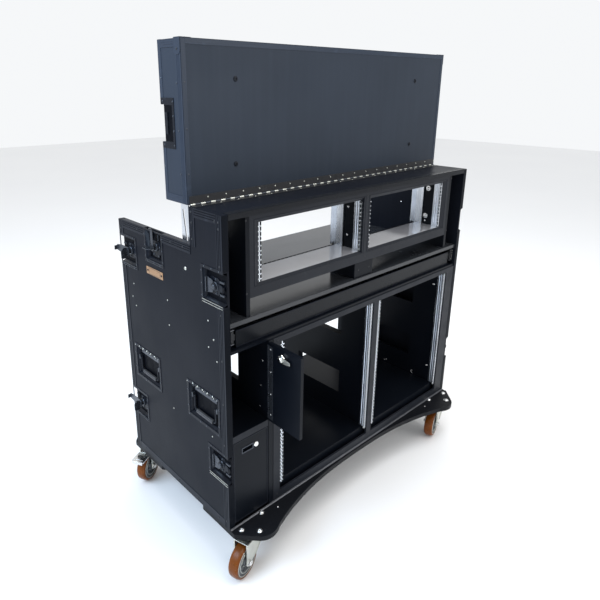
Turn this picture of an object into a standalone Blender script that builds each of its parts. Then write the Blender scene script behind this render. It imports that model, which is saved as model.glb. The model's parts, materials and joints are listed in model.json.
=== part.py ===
"""Wheeled equipment rack case: a double-width 19 inch rack workstation with a hinged lid.

Metres, +Z up, +X to the right seen from the front, +Y towards the rear. The design is laid out
from the case's front plane (Y = 0) and its mid width, and one empty then moves it so that the
origin is on the floor below the middle of the overall box. Heights named "above base" count from
the top of the base board.
"""

import math

import bmesh
import bpy
from mathutils import Matrix, Vector

# --- driving dimensions -------------------------------------------------------------------------

CASE_WIDTH = 1.300
CASE_DEPTH = 0.613
FRONT_HEIGHT = 1.067          # front part, above base
REAR_HEIGHT = 0.950           # lower rear part, above base
STEP_Y = 0.159                # where the side drops from the front to the rear height
WALL = 0.021                  # side panel with its edge profile
BOARD = 0.015                 # inner boards
GAP = 0.0003                  # between touching pieces

CASTOR_HEIGHT = 0.160
BASE_THICKNESS = 0.018
BASE_TOP = CASTOR_HEIGHT + BASE_THICKNESS

ORIGIN_X = -0.0145            # middle of the overall box, from the case's mid width
ORIGIN_Y = 0.2821             # middle of the overall box, from the front plane

HALF = CASE_WIDTH / 2
INNER = HALF - WALL           # inner face of a side panel
TOP = BASE_TOP + FRONT_HEIGHT
REAR_TOP = BASE_TOP + REAR_HEIGHT

# desk, keyboard drawer and lower section, above base
DESK_TOP = 0.7365
DESK_BOTTOM = 0.7215
DRAWER_TOP = 0.7046
DRAWER_BOTTOM = 0.6486
BAY_BOARD_TOP = 0.6470
BAY_BOARD_BOTTOM = 0.6372

# lower rack bays: two openings for 19 inch panels
LOWER_LEFT_BAY = (-0.4260, 0.0597)
LOWER_RIGHT_BAY = (0.0888, 0.5730)
LOWER_WINDOW = (0.034, 0.617)
LOWER_FRAME_LEFT = -0.4575
LOWER_FRAME_DEPTH = 0.008
LOWER_FLOOR_TOP = 0.060
LOWER_LEG = 0.018             # rail leg that faces the front

# upper rack bays
UPPER_FRONT = 0.013           # front face of the upper frame
UPPER_FRAME_DEPTH = 0.018
UPPER_BAY = (0.0175, 0.5030)  # from and to mid width, both sides
UPPER_WINDOW = (0.8345, 1.0220)
UPPER_BEVEL = (0.020, 0.0075, 0.012, 0.007)    # outer side, below, above and depth
UPPER_FRAME_BOTTOM = 0.794
UPPER_BOX_SIDE = 0.557        # outer face of the box's side boards
UPPER_BOX_REAR = 0.155
UPPER_FLOOR_REAR = 0.1385
UPPER_LEG = 0.013
TOP_PANEL_BOTTOM = 1.050

RAIL_RECESS = 0.003
UPPER_RAIL_RECESS = 0.0073
RAIL_DEPTH = 0.035
RAIL_SHEET = 0.002

# column beside the lower bays
PARTITION = (-0.4797, -0.4597)
SHELF = (0.330, 0.350)
COLUMN_FRONT = (0.016, 0.324)
COLUMN_FRONT_X = (-0.6275, -0.4820)
DOOR_HINGE_X = -0.4815
DOOR_HINGE_Y = -0.002
DOOR_WIDTH = 0.145
DOOR_HEIGHT = (0.3515, 0.6345)
DOOR_THICKNESS = 0.012
DOOR_LOCK = (-0.071, 0.604)
DRAWER_LOCK = (-0.533, 0.281)

# pass-through windows of the lower bays' walls
HOLE_Y = (0.157, 0.400)
LOWER_HOLE = (0.158, 0.260)
UPPER_HOLE = (0.428, 0.532)

# lid, open
LID_PIN_RISE = 0.003          # hinge pin above the top panel
LID_LENGTH = 0.4535
LID_DEPTH = 0.116
LID_WALL = 0.009
PIN_RADIUS = 0.0028
LEAF_WIDTH = 0.025
LEAF_SHEET = 0.0012
STAY_PIVOT = (0.216, 0.045)   # Y, and Z above the top panel
STAY_WIDTH = 0.040
STAY_SHEET = 0.003
STAY_BELOW = 0.200
KEEPER_NOTCH = (0.262, 1.423, 1.528)   # from this Y to the rim, between these heights
KEEPER_NOTCH_DEPTH = 0.016

# hardware in the side panels: centres as (Y, height above base)
LATCHES = {
    "front_upper": (0.050, 0.848, "front"),
    "front_lower": (0.046, 0.231, "front"),
    "rear_upper": (0.556, 0.8415, "rear"),
    "rear_lower": (0.556, 0.220, "rear"),
    "lid": (0.378, 0.894, "top"),
}
LATCH_DISH = 0.105
LATCH_DEPTH = 0.014
HANDLES = {"front": (0.125, 0.4115), "rear": (0.476, 0.4115)}
HANDLE_DISH = (0.167, 0.122)
HANDLE_DEPTH = 0.015

# castors
CASTOR_X = 0.576
CASTOR_OVERHANG = 0.0155      # axis of a castor beyond the case's front or rear plane
CASTOR_PLATE = (0.100, 0.085, 0.003)
CASTOR_PLATE_TURN = math.radians(45)
WHEEL_RADIUS = 0.0625
WHEEL_WIDTH = 0.038
WHEEL_TRAIL = 0.047
AXLE_RADIUS = 0.006
CASTORS = {                   # X, Y, trail direction in degrees from +X
    "front_left": (-CASTOR_X, -CASTOR_OVERHANG, 196),
    "front_right": (CASTOR_X, -CASTOR_OVERHANG, 196),
    "rear_left": (-CASTOR_X, CASE_DEPTH + CASTOR_OVERHANG, 209),
    "rear_right": (CASTOR_X, CASE_DEPTH + CASTOR_OVERHANG, 203),
}

# --- scene and collections ----------------------------------------------------------------------

for old in list(bpy.data.objects):
    bpy.data.objects.remove(old, do_unlink=True)

PARTS = bpy.data.collections.new("equipment_rack_case")
CUTTERS = bpy.data.collections.new("cutters")
bpy.context.scene.collection.children.link(PARTS)
bpy.context.scene.collection.children.link(CUTTERS)


def empty(name, location=(0, 0, 0), turn=0.0, parent=None):
    """A bare frame that pieces hang on."""
    frame = bpy.data.objects.new(name, None)
    PARTS.objects.link(frame)
    frame.location = location
    frame.rotation_euler = (0, 0, turn)
    frame.parent = parent
    return frame


CASE = empty("case_frame", (-ORIGIN_X, -ORIGIN_Y, 0))


# --- materials ----------------------------------------------------------------------------------

def material(name, colour, roughness, metallic=0.0):
    surface = bpy.data.materials.new(name)
    surface.use_nodes = True
    shader = surface.node_tree.nodes["Principled BSDF"]
    shader.inputs["Base Color"].default_value = (*colour, 1.0)
    shader.inputs["Roughness"].default_value = roughness
    shader.inputs["Metallic"].default_value = metallic
    return surface


def black_laminate():
    return material("black_laminate", (0.018, 0.019, 0.022), 0.45)


def black_board():
    return material("black_board", (0.020, 0.020, 0.022), 0.35)


def black_profile():
    return material("black_profile", (0.030, 0.030, 0.033), 0.35, 0.8)


def black_steel():
    return material("black_steel", (0.035, 0.035, 0.038), 0.40, 0.9)


def rail_steel():
    return material("rail_steel", (0.78, 0.80, 0.82), 0.28, 1.0)


def zinc():
    return material("zinc", (0.62, 0.63, 0.62), 0.35, 1.0)


def wheel_rubber():
    return material("wheel_rubber", (0.48, 0.20, 0.06), 0.45)


def lock_metal():
    return material("lock_metal", (0.80, 0.80, 0.78), 0.20, 1.0)


# --- building blocks ----------------------------------------------------------------------------

def place(name, mesh, where, surface, location, parent):
    piece = bpy.data.objects.new(name, mesh)
    where.objects.link(piece)
    piece.location = location
    piece.parent = parent
    if surface is not None:
        mesh.materials.append(surface)
    else:
        piece.hide_render = True
        piece.display_type = "WIRE"
    return piece


def cube_mesh(name, low, high, about):
    """A box between two corners, with its points counted from `about`."""
    shape = bmesh.new()
    bmesh.ops.create_cube(shape, size=1.0)
    size = [high[i] - low[i] for i in range(3)]
    middle = [(high[i] + low[i]) / 2 - about[i] for i in range(3)]
    bmesh.ops.transform(shape, matrix=Matrix.Diagonal((*size, 1.0)), verts=shape.verts)
    bmesh.ops.translate(shape, vec=middle, verts=shape.verts)
    mesh = bpy.data.meshes.new(name)
    shape.to_mesh(mesh)
    shape.free()
    return mesh


def bevelled(piece, width, segments=1):
    bevel = piece.modifiers.new("edges", "BEVEL")
    bevel.width = width
    bevel.segments = segments
    bevel.limit_method = "ANGLE"
    return piece


def box(name, low, high, surface, about=None, parent=None, bevel=0.0):
    """A part that is a box, its origin at `about` or at its middle."""
    about = about or [(low[i] + high[i]) / 2 for i in range(3)]
    piece = place(name, cube_mesh(name, low, high, about), PARTS, surface, about, parent or CASE)
    if bevel:
        bevelled(piece, bevel)
    return piece


def cutter_box(low, high, parent=None):
    about = [(low[i] + high[i]) / 2 for i in range(3)]
    mesh = cube_mesh("cutter", low, high, about)
    return place("cutter", mesh, CUTTERS, None, about, parent or CASE)


def cylinder_mesh(name, radius, low, high, axis, segments):
    """A cylinder along an axis, from `low` to `high` on it."""
    shape = bmesh.new()
    bmesh.ops.create_cone(shape, cap_ends=True, segments=segments, radius1=radius,
                          radius2=radius, depth=high - low)
    bmesh.ops.translate(shape, vec=(0, 0, (high + low) / 2), verts=shape.verts)
    turns = {"X": Matrix.Rotation(math.radians(90), 4, "Y"),
             "Y": Matrix.Rotation(math.radians(-90), 4, "X"), "Z": Matrix.Identity(4)}
    bmesh.ops.transform(shape, matrix=turns[axis], verts=shape.verts)
    mesh = bpy.data.meshes.new(name)
    shape.to_mesh(mesh)
    shape.free()
    return mesh


def cylinder(name, radius, low, high, axis, location, surface, parent=None, segments=20):
    mesh = cylinder_mesh(name, radius, low, high, axis, segments)
    where = PARTS if surface is not None else CUTTERS
    piece = place(name, mesh, where, surface, location, parent or CASE)
    mesh.shade_smooth()
    mesh.set_sharp_from_angle(angle=math.radians(40))
    return piece


def cutter_cylinder(radius, low, high, axis, location, parent=None, segments=20):
    return cylinder("cutter", radius, low, high, axis, location, None, parent, segments)


def outline_mesh(name, points, thickness):
    """A flat outline in XY, `thickness` thick about Z = 0, as a mesh."""
    curve = bpy.data.curves.new(name, "CURVE")
    curve.dimensions = "2D"
    curve.fill_mode = "BOTH"
    curve.extrude = thickness / 2
    line = curve.splines.new("POLY")
    line.points.add(len(points) - 1)
    for point, (x, y) in zip(line.points, points):
        point.co = (x, y, 0, 1)
    line.use_cyclic_u = True
    drawn = bpy.data.objects.new(name, curve)
    CUTTERS.objects.link(drawn)
    bpy.context.view_layer.update()
    seen = drawn.evaluated_get(bpy.context.evaluated_depsgraph_get())
    mesh = bpy.data.meshes.new_from_object(seen)
    bpy.data.objects.remove(drawn, do_unlink=True)
    shape = bmesh.new()
    shape.from_mesh(mesh)
    bmesh.ops.remove_doubles(shape, verts=shape.verts, dist=0.00001)
    bmesh.ops.recalc_face_normals(shape, faces=shape.faces)
    shape.to_mesh(mesh)
    shape.free()
    mesh.materials.clear()
    return mesh


YZ_PLANE = Matrix(((0, 0, 1, 0), (1, 0, 0, 0), (0, 1, 0, 0), (0, 0, 0, 1)))
XZ_PLANE = Matrix(((1, 0, 0, 0), (0, 0, -1, 0), (0, 1, 0, 0), (0, 0, 0, 1)))


def outline(name, points, thickness, surface, location, plane=None, parent=None):
    """A part cut from a sheet: its outline lies in XY, or in YZ or XZ as `plane` says."""
    mesh = outline_mesh(name, points, thickness)
    if plane is not None:
        mesh.transform(plane)
    where = PARTS if surface is not None else CUTTERS
    return place(name, mesh, where, surface, location, parent or CASE)


def combine(piece, others, operation):
    for other in others:
        boolean = piece.modifiers.new(operation.lower(), "BOOLEAN")
        boolean.operation = operation
        boolean.object = other
    return piece


def cut(piece, *others):
    return combine(piece, others, "DIFFERENCE")


def join(piece, *others):
    return combine(piece, others, "UNION")


def arc(centre, radius, start, end, steps):
    """Points on a circle, from one angle to another in degrees."""
    points = []
    for step in range(steps + 1):
        angle = math.radians(start + (end - start) * step / steps)
        points.append((centre[0] + radius * math.cos(angle), centre[1] + radius * math.sin(angle)))
    return points


# --- base and side panels -----------------------------------------------------------------------

def base_outline():
    """The base board from above: a wing under each corner, hollowed between them all round."""
    sweep_end = 0.500
    sweep_low = -0.010
    sweep_drop = 0.073
    front = []
    for step in range(11):
        x = sweep_end * step / 10
        front.append((x, sweep_low - sweep_drop * (x / sweep_end) ** 2.6))
    start = Vector(front[-1])
    nose = Vector((0.553, -0.117))
    end = Vector((0.592, -0.084))
    for step in range(1, 9):
        t = step / 8
        front.append(tuple((1 - t) ** 2 * start + 2 * t * (1 - t) * nose + t * t * end))
    hollow = HALF - 0.022
    side = [(HALF, -0.022), (HALF, 0.155), (hollow, 0.185), (hollow, 0.400),
            (HALF, 0.430), (HALF, CASE_DEPTH + 0.020)]
    rear = [(x, CASE_DEPTH - y) for x, y in reversed(front)]
    right = front + side + rear
    left = [(-x, y) for x, y in reversed(right[1:-1])]
    return right + left


def base_board():
    return outline("base_board", base_outline(), BASE_THICKNESS, black_board(),
                   (0, 0, CASTOR_HEIGHT + BASE_THICKNESS / 2))


def latch_pocket(side, y, height, edge):
    """The recess that holds a latch dish, open towards the panel's edge."""
    half = LATCH_DISH / 2
    z = BASE_TOP + height
    low_y, high_y, low_z, high_z = y - half, y + half, z - half, z + half
    beyond = 0.05
    if edge == "front":
        low_y = -beyond
    if edge == "rear":
        high_y = CASE_DEPTH + beyond
    if edge == "top":
        high_z = REAR_TOP + beyond
    floor = side * (HALF - LATCH_DEPTH)
    outside = side * (HALF + beyond)
    return cutter_box((min(floor, outside), low_y, low_z), (max(floor, outside), high_y, high_z))


def handle_pocket(side, y, height):
    floor = side * (HALF - HANDLE_DEPTH)
    outside = side * (HALF + 0.05)
    z = BASE_TOP + height
    return cutter_box((min(floor, outside), y - HANDLE_DISH[0] / 2, z - HANDLE_DISH[1] / 2),
                      (max(floor, outside), y + HANDLE_DISH[0] / 2, z + HANDLE_DISH[1] / 2))


def side_panel(name, side):
    bottom = BASE_TOP + GAP
    steps = [(0, bottom), (CASE_DEPTH, bottom), (CASE_DEPTH, REAR_TOP), (STEP_Y, REAR_TOP),
             (STEP_Y, TOP), (0, TOP)]
    panel = outline(name, steps, WALL, black_laminate(), (side * (HALF - WALL / 2), 0, 0), YZ_PLANE)
    for y, height, edge in LATCHES.values():
        cut(panel, latch_pocket(side, y, height, edge))
    for y, height in HANDLES.values():
        cut(panel, handle_pocket(side, y, height))
    return panel


def top_panel():
    return box("top_panel", (-INNER + GAP, 0, BASE_TOP + TOP_PANEL_BOTTOM),
               (INNER - GAP, STEP_Y, TOP), black_laminate())


# --- inner boards -------------------------------------------------------------------------------

def desk_board():
    return box("desk_board", (-INNER + GAP, 0.006, BASE_TOP + DESK_BOTTOM),
               (INNER - GAP, CASE_DEPTH - 0.003, BASE_TOP + DESK_TOP), black_board(), bevel=0.001)


def drawer_bay_board():
    return box("drawer_bay_board", (-INNER + GAP, 0.003, BASE_TOP + BAY_BOARD_BOTTOM),
               (INNER - GAP, CASE_DEPTH - 0.013, BASE_TOP + BAY_BOARD_TOP), black_board())


def support_block():
    half = 0.052
    return box("support_block", (-half, 0.014, BASE_TOP + DESK_TOP + GAP),
               (half, 0.130, BASE_TOP + UPPER_FRAME_BOTTOM - GAP), black_board(), bevel=0.001)


def upper_box():
    """Carcass of the upper bays: floor, outer sides down to the desk, bay walls and divider."""
    ceiling = BASE_TOP + TOP_PANEL_BOTTOM - GAP
    behind = UPPER_FRONT + UPPER_FRAME_DEPTH + GAP
    floor_low = BASE_TOP + UPPER_FRAME_BOTTOM
    floor_high = BASE_TOP + UPPER_WINDOW[0]
    carcass = box("upper_box", (-UPPER_BOX_SIDE + 0.005, behind, floor_low),
                  (UPPER_BOX_SIDE - 0.005, UPPER_FLOOR_REAR, floor_high), black_board())
    wall = UPPER_BAY[1] + GAP
    divider = UPPER_BAY[0] - GAP
    into_floor = floor_high - 0.005
    join(carcass, cutter_box((-divider, behind, into_floor), (divider, UPPER_BOX_REAR, ceiling)))
    for side in (-1, 1):
        outer = sorted((side * (UPPER_BOX_SIDE - BOARD), side * UPPER_BOX_SIDE))
        inner = sorted((side * wall, side * (wall + BOARD)))
        join(carcass,
             cutter_box((outer[0], UPPER_FRONT, BASE_TOP + DESK_TOP + GAP),
                        (outer[1], UPPER_BOX_REAR, ceiling)),
             cutter_box((inner[0], behind, into_floor), (inner[1], UPPER_BOX_REAR, ceiling)))
    return carcass


def wall_holes(x_low, x_high, heights):
    """Pass-through windows in a board that stands across X."""
    return [cutter_box((x_low - 0.05, HOLE_Y[0], BASE_TOP + low),
                       (x_high + 0.05, HOLE_Y[1], BASE_TOP + high)) for low, high in heights]


def lower_box():
    """Carcass of the lower bays: raised floor on two runners, divider and right-hand wall."""
    behind = LOWER_FRAME_DEPTH + GAP
    ceiling = BASE_TOP + BAY_BOARD_BOTTOM - GAP
    floor_low = BASE_TOP + LOWER_FLOOR_TOP - BOARD
    floor_high = BASE_TOP + LOWER_FLOOR_TOP
    floor_front = 0.020
    right = LOWER_RIGHT_BAY[1] + GAP
    left = PARTITION[1] + GAP
    rear = CASE_DEPTH - 0.003
    carcass = box("lower_box", (left, floor_front, floor_low), (right + BOARD, rear, floor_high),
                  black_board())
    for runner in (floor_front, rear - 0.04):
        join(carcass, cutter_box((left + 0.03, runner + 0.001, BASE_TOP + GAP),
                                 (right + BOARD - 0.002, runner + 0.03, floor_low + 0.005)))
    divider = (LOWER_LEFT_BAY[1] + GAP, LOWER_RIGHT_BAY[0] - GAP)
    into_floor = floor_high - 0.005
    for low, high in (divider, (right, right + BOARD)):
        join(carcass, cutter_box((low, behind, into_floor), (high, rear - 0.001, ceiling)))
        cut(carcass, *wall_holes(low, high, (LOWER_HOLE, UPPER_HOLE)))
    return carcass


def column_carcass():
    """Partition between the column and the left bay, with the column's shelf and floor."""
    low, high = PARTITION
    rear = CASE_DEPTH - 0.003
    ceiling = BASE_TOP + BAY_BOARD_BOTTOM - GAP
    carcass = box("column_carcass", (low, 0, BASE_TOP + GAP), (high, rear, ceiling), black_board())
    batten_right = LOWER_LEFT_BAY[0] - GAP
    behind = LOWER_FRAME_DEPTH + GAP
    join(carcass,
         cutter_box((-INNER + GAP, 0.003, BASE_TOP + SHELF[0]),
                    (low + 0.005, rear - 0.01, BASE_TOP + SHELF[1])),
         cutter_box((-INNER + GAP, 0.016, BASE_TOP + GAP + 0.0005),
                    (low + 0.005, rear - 0.01, BASE_TOP + 0.012)),
         cutter_box((high - 0.005, behind, BASE_TOP + LOWER_FLOOR_TOP + GAP),
                    (batten_right, behind + 0.040, ceiling - 0.001)),
         cutter_box((high - 0.005, rear - 0.05, BASE_TOP + LOWER_FLOOR_TOP + GAP),
                    (batten_right, rear - 0.01, ceiling - 0.001)))
    cut(carcass, *wall_holes(low, high, (UPPER_HOLE,)))
    return carcass


# --- rack frames and rails ----------------------------------------------------------------------

def bevelled_window(x, z, y, side):
    """A window through a frame, its front edges bevelled above, below and on the outer side."""
    outward, below, above, depth = UPPER_BEVEL
    window = cutter_box((x[0], y[0] - 0.01, z[0]), (x[1], y[1] + 0.01, z[1]))
    mouth = cutter_box((x[0], y[0], z[0]), (x[1], y[0] + depth, z[1]))
    for vertex in mouth.data.vertices:
        if vertex.co.y < 0:
            vertex.co.y -= 0.0001
            vertex.co.z += above if vertex.co.z > 0 else -below
            if vertex.co.x * side > 0:
                vertex.co.x += side * outward
    return window, mouth


def upper_front_frame():
    edge = UPPER_BOX_SIDE - BOARD - GAP
    depth = (UPPER_FRONT, UPPER_FRONT + UPPER_FRAME_DEPTH)
    frame = box("upper_front_frame", (-edge, depth[0], BASE_TOP + UPPER_FRAME_BOTTOM),
                (edge, depth[1], BASE_TOP + TOP_PANEL_BOTTOM - GAP), black_profile())
    heights = (BASE_TOP + UPPER_WINDOW[0], BASE_TOP + UPPER_WINDOW[1])
    for side in (-1, 1):
        bay = sorted((side * UPPER_BAY[0], side * UPPER_BAY[1]))
        cut(frame, *bevelled_window(bay, heights, depth, side))
    return frame


def lower_front_frame():
    heights = (BASE_TOP + LOWER_WINDOW[0], BASE_TOP + LOWER_WINDOW[1])
    frame = box("lower_front_frame", (LOWER_FRAME_LEFT, 0, BASE_TOP + GAP),
                (INNER - GAP, LOWER_FRAME_DEPTH, BASE_TOP + BAY_BOARD_BOTTOM - GAP),
                black_profile())
    for bay in (LOWER_LEFT_BAY, LOWER_RIGHT_BAY):
        cut(frame, cutter_box((bay[0], -0.01, heights[0]), (bay[1], 0.03, heights[1])))
    return frame


def rack_rail(name, edge, inward, leg, front, heights):
    """An L-shaped rack rail: one leg faces the front, the other lies along the bay's wall."""
    start = edge + inward * GAP
    profile = [(start, front), (edge + inward * leg, front),
               (edge + inward * leg, front + RAIL_SHEET),
               (start + inward * RAIL_SHEET, front + RAIL_SHEET),
               (start + inward * RAIL_SHEET, front + RAIL_DEPTH), (start, front + RAIL_DEPTH)]
    length = heights[1] - heights[0]
    middle = BASE_TOP + (heights[0] + heights[1]) / 2
    return outline(name, profile, length, rail_steel(), (0, 0, middle))


def rack_rails():
    lower = (LOWER_FLOOR_TOP + 0.002, LOWER_WINDOW[1] - 0.001)
    upper = (UPPER_WINDOW[0] + 0.001, UPPER_WINDOW[1] - 0.001)
    bays = {
        "lower_left_bay": (LOWER_LEFT_BAY, LOWER_LEG, RAIL_RECESS, lower),
        "lower_right_bay": (LOWER_RIGHT_BAY, LOWER_LEG, RAIL_RECESS, lower),
        "upper_left_bay": ((-UPPER_BAY[1], -UPPER_BAY[0]), UPPER_LEG,
                           UPPER_FRONT + UPPER_RAIL_RECESS, upper),
        "upper_right_bay": (UPPER_BAY, UPPER_LEG, UPPER_FRONT + UPPER_RAIL_RECESS, upper),
    }
    for bay, (span, leg, front, heights) in bays.items():
        rack_rail(bay + "_left_rail", span[0], 1, leg, front, heights)
        rack_rail(bay + "_right_rail", span[1], -1, leg, front, heights)


# --- lid ----------------------------------------------------------------------------------------

LID_AXIS = (0, STEP_Y, TOP + LID_PIN_RISE)


def lid_shell():
    """The lid stands open: a shallow tray whose outer face looks to the front."""
    front = STEP_Y + LID_PIN_RISE
    rear = front + LID_DEPTH
    bottom = TOP + LID_PIN_RISE + 0.0005
    top = bottom + LID_LENGTH
    lid = box("lid_shell", (-HALF, front, bottom), (HALF, rear, top), black_laminate(),
              about=LID_AXIS)
    cut(lid, cutter_box((-HALF + LID_WALL, front + LID_WALL, bottom + LID_WALL),
                        (HALF - LID_WALL, rear + 0.05, top - LID_WALL)))
    for side in (-1, 1):
        slot = sorted((side * (HALF - LID_WALL), side * (INNER - 0.015)))
        notch = sorted((side * (HALF - KEEPER_NOTCH_DEPTH), side * (HALF + 0.01)))
        cut(lid, cutter_box((notch[0], KEEPER_NOTCH[0], KEEPER_NOTCH[1]),
                            (notch[1], rear + 0.05, KEEPER_NOTCH[2])))
        cut(lid, cutter_box((slot[0], STAY_PIVOT[0] - STAY_WIDTH / 2 - 0.006, bottom - 0.01),
                            (slot[1], rear + 0.05, bottom + LID_WALL + 0.01)))
    return lid


def lid_hinge():
    """Piano hinge: the case leaf carries the pin's barrel, the lid leaf lies on the lid's face."""
    length = CASE_WIDTH - 0.012
    case_leaf = cylinder("lid_hinge_case_leaf", PIN_RADIUS, -length / 2, length / 2, "X",
                         LID_AXIS, black_steel(), segments=12)
    join(case_leaf, cutter_box((-length / 2 + 0.001, STEP_Y - LEAF_WIDTH, TOP + GAP),
                               (length / 2 - 0.001, STEP_Y - 0.001, TOP + GAP + LEAF_SHEET)))
    front = STEP_Y + LID_PIN_RISE - GAP
    box("lid_hinge_lid_leaf", (-length / 2, front - LEAF_SHEET, TOP + LID_PIN_RISE + 0.0032),
        (length / 2, front, TOP + LID_PIN_RISE + LEAF_WIDTH), black_steel(), about=LID_AXIS)


def lid_stay(name, side):
    """A flat bar that hangs from the lid's inside into the case."""
    pivot = (side * (INNER - 0.004), STAY_PIVOT[0], TOP + STAY_PIVOT[1])
    half = STAY_WIDTH / 2
    points = arc((0, 0), half, 0, 180, 8) + arc((0, -STAY_BELOW), half, 180, 360, 8)
    return outline(name, points, STAY_SHEET, zinc(), pivot, YZ_PLANE)


# --- keyboard drawer ----------------------------------------------------------------------------

DRAWER_FRONT_Y = 0.016
DRAWER_TRAY_X = 0.585
SLIDE_X = (0.6068, INNER - GAP)
SLIDE_HEIGHT = (0.663, 0.712)
SLIDE_END = 0.42


def keyboard_drawer():
    front_x = 0.597
    front_board = 0.012
    low = BASE_TOP + DRAWER_BOTTOM
    high = BASE_TOP + DRAWER_TOP
    tray_rear = 0.400
    start = DRAWER_FRONT_Y + front_board
    drawer = box("keyboard_drawer", (-DRAWER_TRAY_X, start - 0.002, low + 0.003),
                 (DRAWER_TRAY_X, tray_rear, low + 0.038), black_board(),
                 about=(0, DRAWER_FRONT_Y, (low + high) / 2))
    cut(drawer, cutter_box((-DRAWER_TRAY_X + 0.012, start + 0.010, low + 0.011),
                           (DRAWER_TRAY_X - 0.012, tray_rear - 0.012, high + 0.05)))
    join(drawer, cutter_box((-front_x, DRAWER_FRONT_Y, low), (front_x, start, high)))
    for side in (-1, 1):
        runner = sorted((side * (DRAWER_TRAY_X - 0.004), side * (SLIDE_X[0] - GAP)))
        join(drawer, cutter_box((runner[0], start - 0.004, low + 0.022),
                                (runner[1], tray_rear - 0.002, low + 0.034)))
    return drawer


def drawer_slide(name, side):
    """The fixed channel of a ball-bearing slide, open towards the drawer."""
    low, high = BASE_TOP + SLIDE_HEIGHT[0], BASE_TOP + SLIDE_HEIGHT[1]
    across = sorted((side * SLIDE_X[0], side * SLIDE_X[1]))
    channel = box(name, (across[0], 0.012, low), (across[1], SLIDE_END, high), zinc())
    sheet = 0.003
    inside = sorted((side * (SLIDE_X[0] - 0.01), side * (SLIDE_X[1] - sheet)))
    cut(channel, cutter_box((inside[0], 0.0, low + sheet), (inside[1], SLIDE_END + 0.1,
                                                            high - sheet)))
    return channel


# --- column door and drawer ---------------------------------------------------------------------

def column_door():
    """The upper compartment's door, standing open at a right angle to the front."""
    inner_face = DOOR_HINGE_X - 0.002
    door = box("column_door",
               (inner_face, DOOR_HINGE_Y - 0.002 - DOOR_WIDTH, BASE_TOP + DOOR_HEIGHT[0]),
               (inner_face + DOOR_THICKNESS, DOOR_HINGE_Y - 0.002, BASE_TOP + DOOR_HEIGHT[1]),
               black_board(),
               about=(DOOR_HINGE_X, DOOR_HINGE_Y, BASE_TOP + sum(DOOR_HEIGHT) / 2))
    y, height = DOOR_LOCK
    cut(door, cutter_cylinder(0.0093, -0.05, 0.05, "X", (inner_face, y, BASE_TOP + height)))
    return door


def column_door_lock():
    """Cam lock of the open door: barrel through the door, cam on its inner face."""
    y, height = DOOR_LOCK
    inner_face = DOOR_HINGE_X - 0.002
    z = BASE_TOP + height
    lock = cylinder("column_door_lock", 0.0090, -0.012, DOOR_THICKNESS + 0.003, "X",
                    (inner_face, y, z), lock_metal())
    join(lock, cutter_box((inner_face - 0.010, y - 0.040, z - 0.0075),
                          (inner_face - 0.007, y + 0.004, z + 0.0075)))
    return lock


def column_drawer():
    """Tall locking drawer below the open compartment, with a finger slot beside its lock."""
    low, high = BASE_TOP + COLUMN_FRONT[0], BASE_TOP + COLUMN_FRONT[1]
    left, right = COLUMN_FRONT_X
    front, sheet = 0.002, 0.012
    body_left, body_right = left + 0.010, right - 0.010
    body_top = high - 0.07
    rear = 0.42
    drawer = box("column_drawer", (body_left, front + sheet - 0.002, low + 0.002),
                 (body_right, rear, body_top), black_board(),
                 about=((left + right) / 2, front, (low + high) / 2))
    cut(drawer, cutter_box((body_left + 0.009, front + sheet + 0.006, low + 0.011),
                           (body_right - 0.009, rear - 0.009, high)))
    join(drawer, cutter_box((left, front, low), (right, front + sheet, high)))
    x, height = DRAWER_LOCK
    cut(drawer,
        cutter_cylinder(0.0093, -0.05, 0.05, "Y", (x, front, BASE_TOP + height)),
        cutter_box((x - 0.057, front - 0.01, BASE_TOP + height - 0.006),
                   (x - 0.015, front + 0.008, BASE_TOP + height + 0.008)))
    return drawer


def column_drawer_lock():
    x, height = DRAWER_LOCK
    z = BASE_TOP + height
    lock = cylinder("column_drawer_lock", 0.0090, -0.005, 0.022, "Y", (x, 0.002, z), lock_metal())
    join(lock, cutter_box((x - 0.007, 0.018, z - 0.006), (x + 0.007, 0.021, z + 0.026)))
    return lock


# --- hardware of the side panels ----------------------------------------------------------------

def latch_wing(name, side, y, height, edge):
    """A butterfly latch's turning key: boss, hook towards the panel's edge and raised wings."""
    floor = side * (HALF - LATCH_DEPTH + GAP)
    z = BASE_TOP + height
    boss = 0.016
    low, high = sorted((0.0, side * 0.009))
    key = cylinder(name, boss, low, high, "X", (floor, y, z), black_steel(), segments=16)
    hook, half, sheet = 0.044, 0.012, 0.004
    across = sorted((floor + side * 0.003, floor + side * (0.003 + sheet)))
    along = {"front": ((-hook, -half), (0, half)), "rear": ((0, -half), (hook, half)),
             "top": ((-half, 0), (half, hook))}[edge]
    join(key, cutter_box((across[0], y + along[0][0], z + along[0][1]),
                         (across[1], y + along[1][0], z + along[1][1])))
    reach = sorted((floor + side * 0.006, floor + side * 0.034))
    span, thick = 0.024, 0.002
    if edge == "top":
        wings = ((reach[0], y - span, z - thick), (reach[1], y + span, z + thick))
    else:
        wings = ((reach[0], y - thick, z - span), (reach[1], y + thick, z + span))
    join(key, cutter_box(*wings))
    return key


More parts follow.
